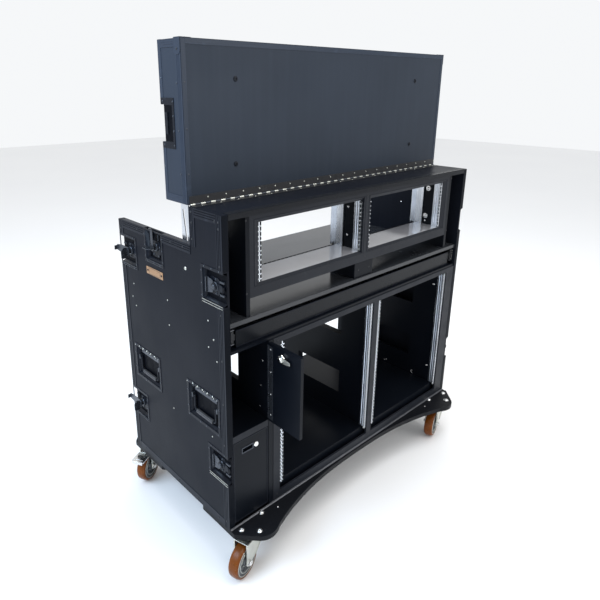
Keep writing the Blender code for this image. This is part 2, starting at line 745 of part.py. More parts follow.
def handle_bail(name, side, y, height):
    """A recessed carrying handle's bail, folded down in its dish."""
    x = side * (HALF - 0.0075)
    z = BASE_TOP + height + 0.012
    radius, half, drop = 0.0050, 0.058, 0.050
    curve = bpy.data.curves.new(name, "CURVE")
    curve.dimensions = "3D"
    curve.bevel_depth = radius
    curve.bevel_resolution = 2
    curve.use_fill_caps = True
    corner = 0.012
    left = arc((-half + corner, -drop + corner), corner, 180, 270, 4)
    right = arc((half - corner, -drop + corner), corner, 270, 360, 4)
    route = [(-half, 0.005)] + left + right + [(half, 0.005)]
    line = curve.splines.new("POLY")
    line.points.add(len(route) - 1)
    for point, (along, up) in zip(line.points, route):
        point.co = (0, along, up, 1)
    drawn = bpy.data.objects.new(name, curve)
    CUTTERS.objects.link(drawn)
    bpy.context.view_layer.update()
    seen = drawn.evaluated_get(bpy.context.evaluated_depsgraph_get())
    mesh = bpy.data.meshes.new_from_object(seen)
    bpy.data.objects.remove(drawn, do_unlink=True)
    shape = bmesh.new()
    shape.from_mesh(mesh)
    bmesh.ops.remove_doubles(shape, verts=shape.verts, dist=0.00001)
    bmesh.ops.recalc_face_normals(shape, faces=shape.faces)
    shape.to_mesh(mesh)
    shape.free()
    mesh.materials.clear()
    mesh.shade_smooth()
    return place(name, mesh, PARTS, black_steel(), (x, y, z), CASE)


def side_hardware():
    for word, side in (("left", -1), ("right", 1)):
        for where, (y, height, edge) in LATCHES.items():
            latch_wing(f"{word}_{where}_latch", side, y, height, edge)
        for where, (y, height) in HANDLES.items():
            handle_bail(f"{word}_{where}_handle", side, y, height)


# --- castors ------------------------------------------------------------------------------------

PLATE_TOP = CASTOR_HEIGHT - GAP
RACE_LOW = PLATE_TOP - CASTOR_PLATE[2] - 0.011
FORK_HALF = WHEEL_WIDTH / 2 + 0.004      # inner face of a fork leg from the wheel's middle
FORK_SHEET = 0.004


def castor_plate(name, x, y, mirrored):
    """Top plate with the upper half of the swivel race below it."""
    turn = CASTOR_PLATE_TURN if mirrored else -CASTOR_PLATE_TURN
    seat = empty(name + "_seat", (x, y, 0), turn, CASE)
    length, width, sheet = CASTOR_PLATE
    plate = box(name, (-length / 2, -width / 2, PLATE_TOP - sheet),
                (length / 2, width / 2, PLATE_TOP), zinc(), parent=seat)
    race = cutter_cylinder(0.036, RACE_LOW, PLATE_TOP - sheet + 0.001, "Z", (0, 0, 0), seat, 24)
    return join(plate, race)


def fork_leg_points():
    """One side plate of the fork, in the wheel's plane: wide at the crown, round at the axle."""
    crown = RACE_LOW - GAP
    hub = arc((WHEEL_TRAIL, WHEEL_RADIUS), 0.014, -140, 10, 6)
    return [(WHEEL_TRAIL + 0.012, crown), (-0.046, crown), (-0.043, 0.110), (0.006, 0.066)] + hub


def castor_fork(name, parent):
    """Swivelling fork: a crown disc, two tapered side plates and the axle between them."""
    crown = RACE_LOW - GAP
    fork = cylinder(name, 0.033, crown - 0.006, crown, "Z", (0, 0, 0), zinc(), parent, 24)
    middle = FORK_HALF + FORK_SHEET / 2
    for side in (-1, 1):
        leg = outline("cutter", fork_leg_points(), FORK_SHEET, None, (0, side * middle, 0),
                      XZ_PLANE, parent)
        join(fork, leg)
    reach = FORK_HALF + FORK_SHEET
    join(fork,
         cutter_box((-0.045, -reach, crown - 0.005), (0.058, reach, crown - 0.001), parent),
         cutter_cylinder(AXLE_RADIUS, -reach - 0.004, reach + 0.004, "Y",
                         (WHEEL_TRAIL, 0, WHEEL_RADIUS), parent, 12))
    return fork


def castor_wheel(name, parent):
    """Tyre and hub turned as one profile about the axle."""
    half = WHEEL_WIDTH / 2
    bore = AXLE_RADIUS + 0.0003
    shoulder = WHEEL_RADIUS - 0.006
    rim = 0.044
    profile = [(bore, half), (0.016, half), (0.018, 0.009), (rim - 0.004, 0.009), (rim, half - 0.003),
               (shoulder - 0.004, half - 0.001)]
    crown = [(shoulder + 0.006 * math.cos(math.radians(a)), (half - 0.003) * math.sin(math.radians(a)))
             for a in (60, 30, 0, -30, -60)]
    profile += crown + [(r, -w) for r, w in reversed(profile)]
    mesh = bpy.data.meshes.new(name)
    shape = bmesh.new()
    ring = [shape.verts.new((r, 0, w)) for r, w in profile]
    for index, vertex in enumerate(ring):
        shape.edges.new((vertex, ring[(index + 1) % len(ring)]))
    shape.to_mesh(mesh)
    shape.free()
    mesh.transform(Matrix.Identity(4))
    wheel = place(name, mesh, PARTS, wheel_rubber(), (WHEEL_TRAIL, 0, WHEEL_RADIUS), parent)
    wheel.rotation_euler = (math.radians(90), 0, 0)
    screw = wheel.modifiers.new("turned", "SCREW")
    screw.axis = "Z"
    screw.steps = 28
    screw.render_steps = 28
    screw.use_merge_vertices = True
    screw.merge_threshold = 0.00005
    screw.use_normal_calculate = True
    screw.use_smooth_shade = True
    return wheel


def brake_pedal(name, parent):
    """Foot pedal of a braked castor: narrow between the fork's sides, wide and lipped beyond."""
    pivot = (WHEEL_TRAIL, 0, 0.134)
    low, high = 0.1280, 0.1315
    pedal = box(name, (0.045, -0.017, low), (0.070, 0.017, high), zinc(), about=pivot,
                parent=parent)
    join(pedal,
         cutter_box((0.066, -0.027, low + 0.0002), (0.126, 0.027, high - 0.0002), parent),
         cutter_box((0.121, -0.024, low - 0.010), (0.1255, 0.024, high - 0.001), parent),
         cutter_box((0.043, -0.010, low + 0.001), (0.057, 0.010, 0.1375), parent))
    return pedal


def castors():
    for corner, (x, y, trail) in CASTORS.items():
        castor_plate(f"{corner}_castor_plate", x, y, (x > 0) == (y > 0))
        swivel = empty(f"{corner}_swivel", (x, y, 0), math.radians(trail), CASE)
        castor_fork(f"{corner}_castor_fork", swivel)
        castor_wheel(f"{corner}_castor_wheel", swivel)
        if corner.startswith("rear"):
            brake_pedal(f"{corner}_brake_pedal", swivel)


# --- the whole case -----------------------------------------------------------------------------

base_board()
side_panel("left_side_panel", -1)
side_panel("right_side_panel", 1)
top_panel()
desk_board()
drawer_bay_board()
support_block()
upper_box()
lower_box()
column_carcass()
upper_front_frame()
lower_front_frame()
rack_rails()
lid_shell()
lid_hinge()
lid_stay("lid_stay_left", -1)
lid_stay("lid_stay_right", 1)
keyboard_drawer()
drawer_slide("drawer_slide_left", -1)
drawer_slide("drawer_slide_right", 1)
column_door()
column_door_lock()
column_drawer()
column_drawer_lock()
side_hardware()
castors()
bpy.context.view_layer.update()
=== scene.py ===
"""Visual model of a wheeled equipment rack case, built over its fixed CAD frame.

Pieces are built in the case's design metres (Y = 0 on the front plane, X = 0 at mid width, floor at
Z = 0) and their objects then sit at SHIFT, which brings them into the frame's coordinates.
"""

import json
import math

import bmesh
import bpy
from mathutils import Matrix, Vector

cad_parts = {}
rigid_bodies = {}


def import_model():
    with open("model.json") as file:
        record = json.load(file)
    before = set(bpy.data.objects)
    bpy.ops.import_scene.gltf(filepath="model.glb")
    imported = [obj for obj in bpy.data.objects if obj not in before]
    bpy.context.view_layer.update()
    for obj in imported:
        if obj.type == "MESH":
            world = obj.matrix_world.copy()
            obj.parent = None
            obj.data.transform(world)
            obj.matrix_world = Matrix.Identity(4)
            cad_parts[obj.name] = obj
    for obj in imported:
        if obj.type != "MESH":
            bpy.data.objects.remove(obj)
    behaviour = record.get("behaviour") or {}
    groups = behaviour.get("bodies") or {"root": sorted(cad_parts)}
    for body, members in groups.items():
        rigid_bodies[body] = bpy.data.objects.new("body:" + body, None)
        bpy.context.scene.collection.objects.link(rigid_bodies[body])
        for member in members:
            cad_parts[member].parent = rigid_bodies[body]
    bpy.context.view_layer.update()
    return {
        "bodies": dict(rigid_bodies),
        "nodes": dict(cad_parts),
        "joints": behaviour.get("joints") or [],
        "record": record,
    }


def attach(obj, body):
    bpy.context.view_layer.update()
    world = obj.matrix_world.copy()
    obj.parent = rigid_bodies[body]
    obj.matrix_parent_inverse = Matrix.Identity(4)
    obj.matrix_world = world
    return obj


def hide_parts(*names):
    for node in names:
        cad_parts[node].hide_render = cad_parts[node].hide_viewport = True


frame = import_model()
NODES = frame["nodes"]

# --- sizes shared with the frame ----------------------------------------------------------------

SHIFT = Vector((0.0145, -0.2821, 0.0))
HALF, WALL, DEPTH = 0.65, 0.021, 0.613
INNER = HALF - WALL
BASE_TOP = 0.178
TOP, REAR_TOP, STEP_Y = 1.245, 1.128, 0.159
DESK_TOP = BASE_TOP + 0.7365
PROUD = 0.0014                 # how far edge profiles stand off the boards
LATCHES = {                    # Y and height of the pivot, and the edge that the latch works over
    "front_upper": (0.05, BASE_TOP + 0.848, "front"),
    "front_lower": (0.046, BASE_TOP + 0.231, "front"),
    "rear_upper": (0.556, BASE_TOP + 0.8415, "rear"),
    "rear_lower": (0.556, BASE_TOP + 0.22, "rear"),
    "lid": (0.378, BASE_TOP + 0.894, "top"),
}
LATCH_HALF, LATCH_DEPTH = 0.0525, 0.014
DISH_SHEET = 0.0012            # how far the dishes' flanges stand off the panels
HANDLES = {"front": (0.125, BASE_TOP + 0.4115), "rear": (0.476, BASE_TOP + 0.4115)}
HANDLE_HALF, HANDLE_DEPTH = (0.0835, 0.061), 0.015
PIN = Vector((0, STEP_Y, TOP + 0.003))      # lid hinge axis
CASTOR_X, CASTOR_OUT = 0.576, 0.0155        # swivel axes: from mid width, and past the front and rear planes
CASTORS = {
    "front_left": (-CASTOR_X, -CASTOR_OUT, 196), "front_right": (CASTOR_X, -CASTOR_OUT, 196),
    "rear_left": (-CASTOR_X, DEPTH + CASTOR_OUT, 209), "rear_right": (CASTOR_X, DEPTH + CASTOR_OUT, 203),
}                                           # swivel axis X and Y, and the heading of the trailing wheel
SIDES = (("left", -1), ("right", 1))


# --- materials ----------------------------------------------------------------------------------

class Surface:
    """A Principled material whose inputs are driven by procedural textures in object space."""

    def __init__(self, name, colour, roughness, metallic=0.0, shine=0.5):
        self.material = bpy.data.materials.new(name)
        self.material.use_nodes = True
        self.nodes = self.material.node_tree.nodes
        self.links = self.material.node_tree.links
        self.shader = self.nodes["Principled BSDF"]
        self.colour = (*colour, 1.0)
        self.roughness = roughness
        for socket, value in (("Base Color", self.colour), ("Roughness", roughness), ("Metallic", metallic),
                              ("Specular IOR Level", shine)):
            self.shader.inputs[socket].default_value = value
        self.coords = self.nodes.new("ShaderNodeTexCoord").outputs["Object"]

    def noise(self, scale, detail, distortion=0.0, stretch=(1, 1, 1)):
        mapping = self.nodes.new("ShaderNodeMapping")
        mapping.inputs["Scale"].default_value = stretch
        texture = self.nodes.new("ShaderNodeTexNoise")
        texture.inputs["Scale"].default_value = scale
        texture.inputs["Detail"].default_value = detail
        texture.inputs["Distortion"].default_value = distortion
        self.links.new(self.coords, mapping.inputs["Vector"])
        self.links.new(mapping.outputs["Vector"], texture.inputs["Vector"])
        return texture.outputs["Fac"]

    def cells(self, scale):
        texture = self.nodes.new("ShaderNodeTexVoronoi")
        texture.inputs["Scale"].default_value = scale
        self.links.new(self.coords, texture.inputs["Vector"])
        return texture.outputs["Distance"]

    def remap(self, source, low, high, to_low=0.0, to_high=1.0):
        node = self.nodes.new("ShaderNodeMapRange")
        for key, value in (("From Min", low), ("From Max", high), ("To Min", to_low), ("To Max", to_high)):
            node.inputs[key].default_value = value
        self.links.new(source, node.inputs["Value"])
        return node.outputs["Result"]

    def tint(self, mask, colour):
        """Mixes the base colour so far towards another where the mask is high."""
        mix = self.nodes.new("ShaderNodeMix")
        mix.data_type = "RGBA"
        socket = self.shader.inputs["Base Color"]
        if socket.is_linked:
            self.links.new(socket.links[0].from_socket, mix.inputs["A"])
        else:
            mix.inputs["A"].default_value = self.colour
        mix.inputs["B"].default_value = (*colour, 1.0)
        self.links.new(mask, mix.inputs["Factor"])
        self.links.new(mix.outputs["Result"], socket)

    def cloud(self, colour, amount, low, high, scale, detail, distortion=0.0, stretch=(1, 1, 1)):
        """Tints by up to `amount` where a noise rises from `low` to `high`."""
        self.tint(self.remap(self.noise(scale, detail, distortion, stretch), low, high, 0, amount), colour)

    def rough(self, source, spread):
        """Varies the roughness about its value."""
        value = self.remap(source, 0.3, 0.7, self.roughness - spread, self.roughness + spread)
        self.links.new(value, self.shader.inputs["Roughness"])

    def bump(self, source, strength, distance):
        bump = self.nodes.new("ShaderNodeBump")
        bump.inputs["Strength"].default_value = strength
        bump.inputs["Distance"].default_value = distance
        socket = self.shader.inputs["Normal"]
        if socket.is_linked:
            self.links.new(socket.links[0].from_socket, bump.inputs["Normal"])
        self.links.new(source, bump.inputs["Height"])
        self.links.new(bump.outputs["Normal"], socket)


def laminate(name, colour, shine):
    """Black grained laminate: fine pebble, faint streaks, dust and hairline scuffs."""
    s = Surface(name, colour, 0.42, 0.0, shine=shine)
    lighter = [c * 1.5 + 0.002 for c in colour]
    s.cloud(lighter, 0.45, 0.35, 0.75, 2.2, 3)
    s.cloud(lighter, 0.3, 0.45, 0.8, 60, 5, stretch=(1, 1, 0.04))
    s.cloud([c * 2.2 + 0.008 for c in colour], 0.25, 0.69, 0.74, 7, 10, 1.4, (1, 6, 0.6))
    s.rough(s.noise(5, 8), 0.06)
    s.bump(s.noise(520, 2), 0.2, 0.0004)
    s.bump(s.noise(9, 2), 0.1, 0.003)
    return s.material


def film_board(name, colour, roughness, shine=0.5):
    """Smooth black film on plywood: soft waves, wipe marks and specks of dust."""
    s = Surface(name, colour, roughness, 0.0, shine=shine)
    s.cloud([c * 1.7 + 0.003 for c in colour], 0.4, 0.4, 0.8, 4, 6)
    s.tint(s.remap(s.cells(160), 0.0, 0.1, 0.3, 0.0), [c * 3 + 0.02 for c in colour])
    s.rough(s.noise(9, 5, 0.4, (0.6, 1, 1)), 0.04)
    s.bump(s.noise(14, 2), 0.05, 0.0008)
    s.bump(s.noise(700, 2), 0.1, 0.0002)
    return s.material


def grip_board():
    """Anti-slip film of the base board: a fine raised mesh with worn specks."""
    s = Surface("grip_board", (0.004, 0.0046, 0.0064), 0.46, 0.0, shine=0.12)
    s.tint(s.remap(s.cells(230), 0.0, 0.16, 0.5, 0.0), (0.02, 0.021, 0.024))
    s.cloud((0.07, 0.07, 0.075), 0.4, 0.68, 0.74, 420, 1)
    s.rough(s.noise(8, 6), 0.08)
    s.bump(s.cells(330), 0.5, 0.0007)
    return s.material


def profile_metal(name, along, colour=(0.0082, 0.0102, 0.0155), shine=0.105):
    """Black anodised extrusion: drawn lines along its length and rubbed, paler patches."""
    s = Surface(name, colour, 0.34, 0.0, shine=shine)
    stretch = {"X": (0.02, 1, 1), "Y": (1, 0.02, 1), "Z": (1, 1, 0.02)}[along]
    s.cloud([c * 1.6 + 0.004 for c in colour], 0.45, 0.45, 0.75, 420, 4, stretch=stretch)
    s.cloud([c * 2.4 + 0.01 for c in colour], 0.35, 0.64, 0.74, 11, 9, 1.0)
    s.rough(s.noise(30, 6, stretch=stretch), 0.08)
    s.bump(s.noise(600, 2, stretch=stretch), 0.25, 0.0002)
    return s.material


def powder_coat(name, colour, roughness):
    """Satin powder coat with orange peel and light dust."""
    s = Surface(name, colour, roughness, 0.0, shine=0.16)
    s.cloud([c * 1.5 + 0.003 for c in colour], 0.5, 0.4, 0.75, 6, 7)
    s.cloud([c * 3 + 0.015 for c in colour], 0.3, 0.68, 0.74, 38, 10, 0.6)
    s.rough(s.noise(22, 6), 0.07)
    s.bump(s.noise(260, 2), 0.18, 0.0004)
    return s.material


def plated_steel(name, colour, roughness, along=(1, 1, 1)):
    """Zinc or nickel plate: cloudy tint, drawn lines, fingerprints."""
    s = Surface(name, colour, roughness, 1.0)
    s.cloud([c * 0.72 for c in colour], 0.55, 0.35, 0.75, 18, 6)
    s.cloud([c * 0.8 + 0.02 for c in colour], 0.5, 0.5, 0.8, 220, 4, stretch=along)
    s.rough(s.noise(46, 7, stretch=along), 0.09)
    s.bump(s.noise(380, 3, stretch=along), 0.18, 0.0002)
    return s.material


def black_steel(name, colour=(0.03, 0.031, 0.034), roughness=0.34, metallic=0.55, shine=0.3):
    """Dark plated steel with rubbed edges and small bright nicks."""
    s = Surface(name, colour, roughness, metallic, shine=shine)
    s.cloud([c * 1.8 + 0.004 for c in colour], 0.5, 0.56, 0.72, 70, 8, 0.6)
    s.cloud([c * 3.0 + 0.02 for c in colour], 0.5, 0.72, 0.76, 240, 2)
    s.rough(s.noise(50, 6), 0.1)
    s.bump(s.noise(300, 3), 0.2, 0.0003)
    return s.material


def soft_rubber():
    """Black rubber with a chalky bloom."""
    s = Surface("soft_rubber", (0.022, 0.022, 0.024), 0.62)
    s.cloud((0.06, 0.06, 0.062), 0.5, 0.45, 0.8, 30, 7)
    s.rough(s.noise(60, 5), 0.08)
    s.bump(s.noise(500, 3), 0.35, 0.0004)
    return s.material


def tyre_urethane():
    """Orange-brown cast polyurethane, darker where it rolls, with grit pressed in and small painted
    highlights.
    """
    s = Surface("tyre_urethane", (0.165, 0.042, 0.003), 0.3, 0.0, shine=0.2)
    s.cloud((0.07, 0.022, 0.003), 0.8, 0.4, 0.7, 16, 8)
    # Small paler orange speckles: painted highlights on the tyre.
    s.cloud((0.2, 0.075, 0.02), 0.35, 0.56, 0.66, 150, 5)
    s.cloud((0.06, 0.035, 0.022), 0.6, 0.64, 0.72, 210, 4)
    s.rough(s.noise(40, 7), 0.1)
    s.bump(s.noise(120, 5), 0.25, 0.0006)
    return s.material


def hub_plastic():
    """Grey wheel centre with scuffs."""
    s = Surface("hub_grey", (0.085, 0.092, 0.1), 0.34, 0.5)
    s.cloud((0.17, 0.175, 0.18), 0.5, 0.45, 0.75, 50, 7)
    s.rough(s.noise(70, 5), 0.08)
    s.bump(s.noise(380, 3), 0.2, 0.0003)
    return s.material


def plate_brass():
    """Brushed brass, tarnished in patches."""
    s = Surface("plate_brass", (0.36, 0.205, 0.105), 0.34, 0.6)
    s.cloud((0.46, 0.32, 0.2), 0.5, 0.45, 0.8, 90, 4, stretch=(1, 0.05, 1))
    s.cloud((0.16, 0.08, 0.04), 0.5, 0.6, 0.72, 120, 8)
    s.rough(s.noise(80, 6), 0.08)
    s.bump(s.noise(500, 2, stretch=(1, 0.05, 1)), 0.2, 0.0002)
    return s.material


PANEL = laminate("panel_laminate", (0.0052, 0.0064, 0.01), 0.06)
# The panels' black laminate drawn paler and bluer for the lid: painted sheen of the bluish window light.
LID = laminate("lid_laminate_painted_sheen", (0.0175, 0.0245, 0.037), 0.135)
BOARD = film_board("black_board_film", (0.003, 0.0042, 0.007), 0.32, 0.1)
DRAWER = film_board("drawer_front_film", (0.0036, 0.0046, 0.0068), 0.28, 0.16)
DESK = film_board("desk_film", (0.02, 0.022, 0.026), 0.24, 0.42)
# A pale copy of the black board film: painted reflection of the room on the upper bays' glossy floors.
FLOOR_REFLECTION_SHEET = film_board("bay_floor_reflection_sheet", (0.24, 0.24, 0.255), 0.13)
GRIP = grip_board()
PROFILE = {axis: profile_metal(f"profile_along_{axis.lower()}", axis) for axis in "XYZ"}
EDGE_PROFILE = profile_metal("front_edge_profile", "Z", (0.003, 0.0042, 0.007), 0.05)
TOP_PROFILE = profile_metal("top_edge_profile", "X", (0.006, 0.0072, 0.01), 0.14)
# The edge profiles' black made paler and bluer on the lid: painted sheen of the bluish window light.
LID_PROFILE = {axis: profile_metal(f"lid_profile_along_{axis.lower()}", axis, (0.017, 0.026, 0.043), 0.2)
               for axis in "XYZ"}
FRAME = powder_coat("frame_powder_coat", (0.01, 0.0118, 0.0165), 0.44)
RAIL = plated_steel("rail_zinc", (0.8, 0.84, 0.9), 0.26, (1, 1, 0.03))
ZINC = plated_steel("hardware_zinc", (0.6, 0.61, 0.56), 0.36)
DULL_ZINC = plated_steel("slide_zinc", (0.16, 0.165, 0.18), 0.42, (1, 0.03, 1))
BRIGHT = plated_steel("bright_screw", (0.86, 0.86, 0.85), 0.22)
NICKEL = plated_steel("lock_nickel", (0.9, 0.89, 0.86), 0.14)
DISH = black_steel("dish_steel", (0.0075, 0.0092, 0.0135), 0.3, 0.0, 0.1)
# Near-black and nearly matt: painted shade, laid over the dishes' floors, the profiles' groove floors, the
# lid keepers' recesses and the upper bay floors' rear edge.
SHADE_BLACK = black_steel("painted_shade_black", (0.0016, 0.0022, 0.004), 0.5, 0.0, 0.04)
STEEL = black_steel("latch_steel", (0.052, 0.058, 0.07), 0.3, 0.72)
DARK = black_steel("screw_black_steel", (0.03, 0.031, 0.034), 0.42)
RUBBER = soft_rubber()
TYRE = tyre_urethane()
HUB = hub_plastic()
BRASS = plate_brass()


# --- shapes -------------------------------------------------------------------------------------

UP = Vector((0, 0, 1))


class Shape:
    """A mesh under construction, in design metres."""

    def __init__(self):
        self.bm = bmesh.new()

    def box(self, low, high, matrix=None):
        made = bmesh.ops.create_cube(self.bm, size=1.0)["verts"]
        low, high = Vector(low), Vector(high)
        bmesh.ops.transform(self.bm, matrix=Matrix.Diagonal((*(high - low), 1.0)), verts=made)
        bmesh.ops.translate(self.bm, vec=(low + high) / 2, verts=made)
        if matrix is not None:
            bmesh.ops.transform(self.bm, matrix=matrix, verts=made)
        return self

    def rod(self, start, end, radius, sides):
        start, end = Vector(start), Vector(end)
        made = bmesh.ops.create_cone(self.bm, cap_ends=True, segments=sides, radius1=radius,
                                     radius2=radius, depth=(end - start).length)["verts"]
        turn = UP.rotation_difference(end - start).to_matrix().to_4x4()
        bmesh.ops.transform(self.bm, matrix=Matrix.Translation((start + end) / 2) @ turn, verts=made)
        return self

    def lathe(self, base, along, profile, sides=20):
        """Turns (radius, height) points about an axis through `base`."""
        turn = UP.rotation_difference(Vector(along)).to_matrix().to_4x4()
        matrix = Matrix.Translation(Vector(base)) @ turn
        rings = []
        for radius, height in profile:
            if radius < 1e-6:
                rings.append([self.bm.verts.new(matrix @ Vector((0, 0, height)))])
                continue
            steps = [2 * math.pi * k / sides for k in range(sides)]
            rings.append([self.bm.verts.new(matrix @ Vector((radius * math.cos(a), radius * math.sin(a),
                                                             height))) for a in steps])
        for one, two in zip(rings, rings[1:]):
            for k in range(sides):
                after = (k + 1) % sides
                corners = (one[k % len(one)], one[after % len(one)], two[after % len(two)], two[k % len(two)])
                unique = list(dict.fromkeys(corners))
                if len(unique) > 2:
                    self.bm.faces.new(unique)
        return self

    def dome(self, at, along, radius, rise, sides=10):
        """A round rivet or screw head on a surface."""
        profile = [(radius, 0.0), (radius, rise * 0.35), (radius * 0.78, rise * 0.8),
                   (radius * 0.4, rise), (0, rise)]
        return self.lathe(at, along, profile, sides)

    def domes(self, places, along, radius, rise):
        for place in places:
            self.dome(place, along, radius, rise)
        return self

    def socket_head(self, at, along, radius, rise, sides=14):
        """A domed bolt head with a sunk drive in its middle."""
        profile = [(radius, 0.0), (radius, rise * 0.3), (radius * 0.86, rise * 0.75), (radius * 0.62, rise),
                   (radius * 0.42, rise), (radius * 0.36, rise * 0.35), (0, rise * 0.35)]
        return self.lathe(at, along, profile, sides)

    def prism(self, points, axis, low, high):
        """A flat outline, given in the other two axes in order, between two places on an axis."""
        order = {"X": lambda a, b, c: (c, a, b), "Y": lambda a, b, c: (a, c, b),
                 "Z": lambda a, b, c: (a, b, c)}[axis]
        ends = [[self.bm.verts.new(order(a, b, place)) for a, b in points] for place in (low, high)]
        self.bm.faces.new(ends[0])
        self.bm.faces.new(ends[1])
        return self.skin_between(*ends)

    def skin_between(self, one, two):
        """Faces between two closed loops of as many vertices each."""
        for k in range(len(one)):
            after = (k + 1) % len(one)
            self.bm.faces.new((one[k], one[after], two[after], two[k]))
        return self

    def plate(self, outer, inner, axis, low, high):
        """A rectangular ring: `outer` and `inner` are (low a, low b, high a, high b)."""
        oa, ob, oc, od = outer
        ia, ib, ic, id_ = inner
        bars = [(oa, ob, oc, ib), (oa, id_, oc, od), (oa, ib, ia, id_), (ic, ib, oc, id_)]
        for a, b, c, d in bars:
            if c - a > 1e-5 and d - b > 1e-5:
                self.prism(square(a, b, c, d), axis, low, high)
        return self

    def tube(self, points, radius, sides=10):
        """A round bar bent along a path."""
        points = [Vector(p) for p in points]
        rings = []
        normal = None
        for k, point in enumerate(points):
            ahead = (points[min(k + 1, len(points) - 1)] - points[max(k - 1, 0)]).normalized()
            if normal is None:
                normal = ahead.orthogonal().normalized()
            normal = (normal - ahead * normal.dot(ahead)).normalized()
            side = ahead.cross(normal)
            angles = [2 * math.pi * j / sides for j in range(sides)]
            rings.append([self.bm.verts.new(point + radius * (math.cos(a) * normal + math.sin(a) * side))
                          for a in angles])
        for one, two in zip(rings, rings[1:]):
            self.skin_between(one, two)
        self.bm.faces.new(rings[0])
        self.bm.faces.new(rings[-1])
        return self

    def moved(self, matrix):
        bmesh.ops.transform(self.bm, matrix=matrix, verts=self.bm.verts)
        return self

    def mesh(self, name, angle=35):
        bmesh.ops.recalc_face_normals(self.bm, faces=self.bm.faces)
        mesh = bpy.data.meshes.new(name)
        self.bm.to_mesh(mesh)
        self.bm.free()
        mesh.shade_smooth()
        mesh.set_sharp_from_angle(angle=math.radians(angle))
        return mesh

    def done(self, name, material, body, bevel=0.0, segments=2, replaces=(), slot=None):
        """Turns the shape into a named piece of one material that rides on a body."""
        mesh = self.mesh(name)
        mesh.materials.append(material)
        piece = bpy.data.objects.new(name, mesh)
        bpy.context.scene.collection.objects.link(piece)
        piece.location = SHIFT
        if bevel:
            soften(piece, bevel, segments)
        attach(piece, body)
        if replaces:
            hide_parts(*replaces)
        return piece


def soften(piece, width, segments=2):
    """Rounds a piece's edges by a bevel of so much width."""
    bevel = piece.modifiers.new("edges", "BEVEL")
    bevel.width = width
    bevel.segments = segments
    bevel.limit_method = "ANGLE"
    bevel.angle_limit = math.radians(40)
    bevel.use_clamp_overlap = True
    bevel.harden_normals = True


def dress(node, material, bevel=0.0, segments=2):
    """A CAD node that is shown as it is, with a procedural finish and softened edges."""
    piece = NODES[node]
    piece.data.materials.clear()
    piece.data.materials.append(material)
    piece.data.shade_smooth()
    piece.data.set_sharp_from_angle(angle=math.radians(35))
    if bevel:
        soften(piece, bevel, segments)


def layer(side, *places):
    """Places given as distances from mid width, on one side, in rising order."""
    return sorted(side * place for place in places)


def square(a, b, c, d):
    """The corners of a rectangle from (a, b) to (c, d)."""
    return [(a, b), (c, b), (c, d), (a, d)]


def mirrored(points):
    """An outline whose second half is its first one, mirrored in the first axis."""
    return points + [(a, -b) for a, b in reversed(points)]


def arc(centre, radius, start, end, steps):
    """Points on a circle between two angles in degrees."""
    return [(centre[0] + radius * math.cos(math.radians(start + (end - start) * k / steps)),
             centre[1] + radius * math.sin(math.radians(start + (end - start) * k / steps)))
            for k in range(steps + 1)]


def rounded(a, b, c, d, radius, steps=4):
    """A rectangle with rounded corners."""
    return (arc((c - radius, d - radius), radius, 0, 90, steps)
            + arc((a + radius, d - radius), radius, 90, 180, steps)
            + arc((a + radius, b + radius), radius, 180, 270, steps)
            + arc((c - radius, b + radius), radius, 270, 360, steps))


# --- boards carried over ------------------------------------------------------------------------

def boards():
    """CAD nodes that are shown as they are."""
    for node in ("left_side_panel", "right_side_panel", "top_panel"):
        dress(node, PANEL, 0.0008)
    dress("lid_shell", LID, 0.0008)
    dress("base_board", GRIP, 0.003, 3)
    for node in ("upper_box", "lower_box", "column_carcass", "support_block", "column_drawer",
                 "column_door", "drawer_bay_board"):
        dress(node, BOARD, 0.0008)
    dress("keyboard_drawer", DRAWER, 0.001)
    dress("desk_board", DESK, 0.001)
    for node in ("upper_front_frame", "lower_front_frame"):
        dress(node, FRAME, 0.0012)
    for node in ("lid_hinge_case_leaf", "lid_hinge_lid_leaf"):
        dress(node, DARK, 0.0002)
    for node in ("drawer_slide_left", "drawer_slide_right"):
        dress(node, DULL_ZINC, 0.0004)
    for node in NODES:
        if node.endswith("_castor_plate"):
            dress(node, ZINC, 0.0008)


# --- edge profiles of the case ------------------------------------------------------------------

RIBS = ((0.0, 0.28), (0.37, 0.53), (0.62, 0.78), (0.87, 1.0))     # raised bands across a profile's width
PROFILE_WIDTH = 0.028
ON_PROFILE = PROUD * 0.6       # where rivet heads sit on a profile


def strip(shape, axis, span, across, face, outward, ribs=True, groove_shade=None):
    """A flat profile leg with fine ribs.

    `span` is its reach along `axis`; `across` is (axis letter, low, high); `face` is (axis letter,
    place) of the board's surface, and `outward` the sign of the side that it covers. The floors of the
    grooves between the ribs go into `groove_shade`, which is drawn near-black: painted shade in the
    grooves.
    """
    letter, start, end = across
    width = end - start

    def corner(along, over, out):
        point = {axis: along, letter: over, face[0]: face[1] + outward * out}
        return (point["X"], point["Y"], point["Z"])

    def bar(low, high, rise, into=shape):
        a, b = corner(span[0], low, -0.0004), corner(span[1], high, rise)
        into.box([min(p, q) for p, q in zip(a, b)], [max(p, q) for p, q in zip(a, b)])

    bar(start, end, PROUD * 0.62)
    if ribs:
        for low, high in RIBS:
            bar(start + low * width, start + high * width, PROUD)
    if groove_shade:
        for before, after in zip(RIBS, RIBS[1:]):
            bar(start + before[1] * width, start + after[0] * width, PROUD * 0.7, groove_shade)


def free_spans(low, high, taken):
    """The stretches of an edge that no latch dish interrupts."""
    spans = []
    place = low
    for start, end in sorted(taken):
        if start > place:
            spans.append((place, start))
        place = max(place, end)
    if place < high:
        spans.append((place, high))
    return spans


def latch_gaps(edge):
    """The stretches of one edge of a side panel that its latch dishes take."""
    reach = LATCH_HALF + 0.003
    middles = [y if edge == "top" else z for y, z, its_edge in LATCHES.values() if its_edge == edge]
    return [(middle - reach, middle + reach) for middle in middles]


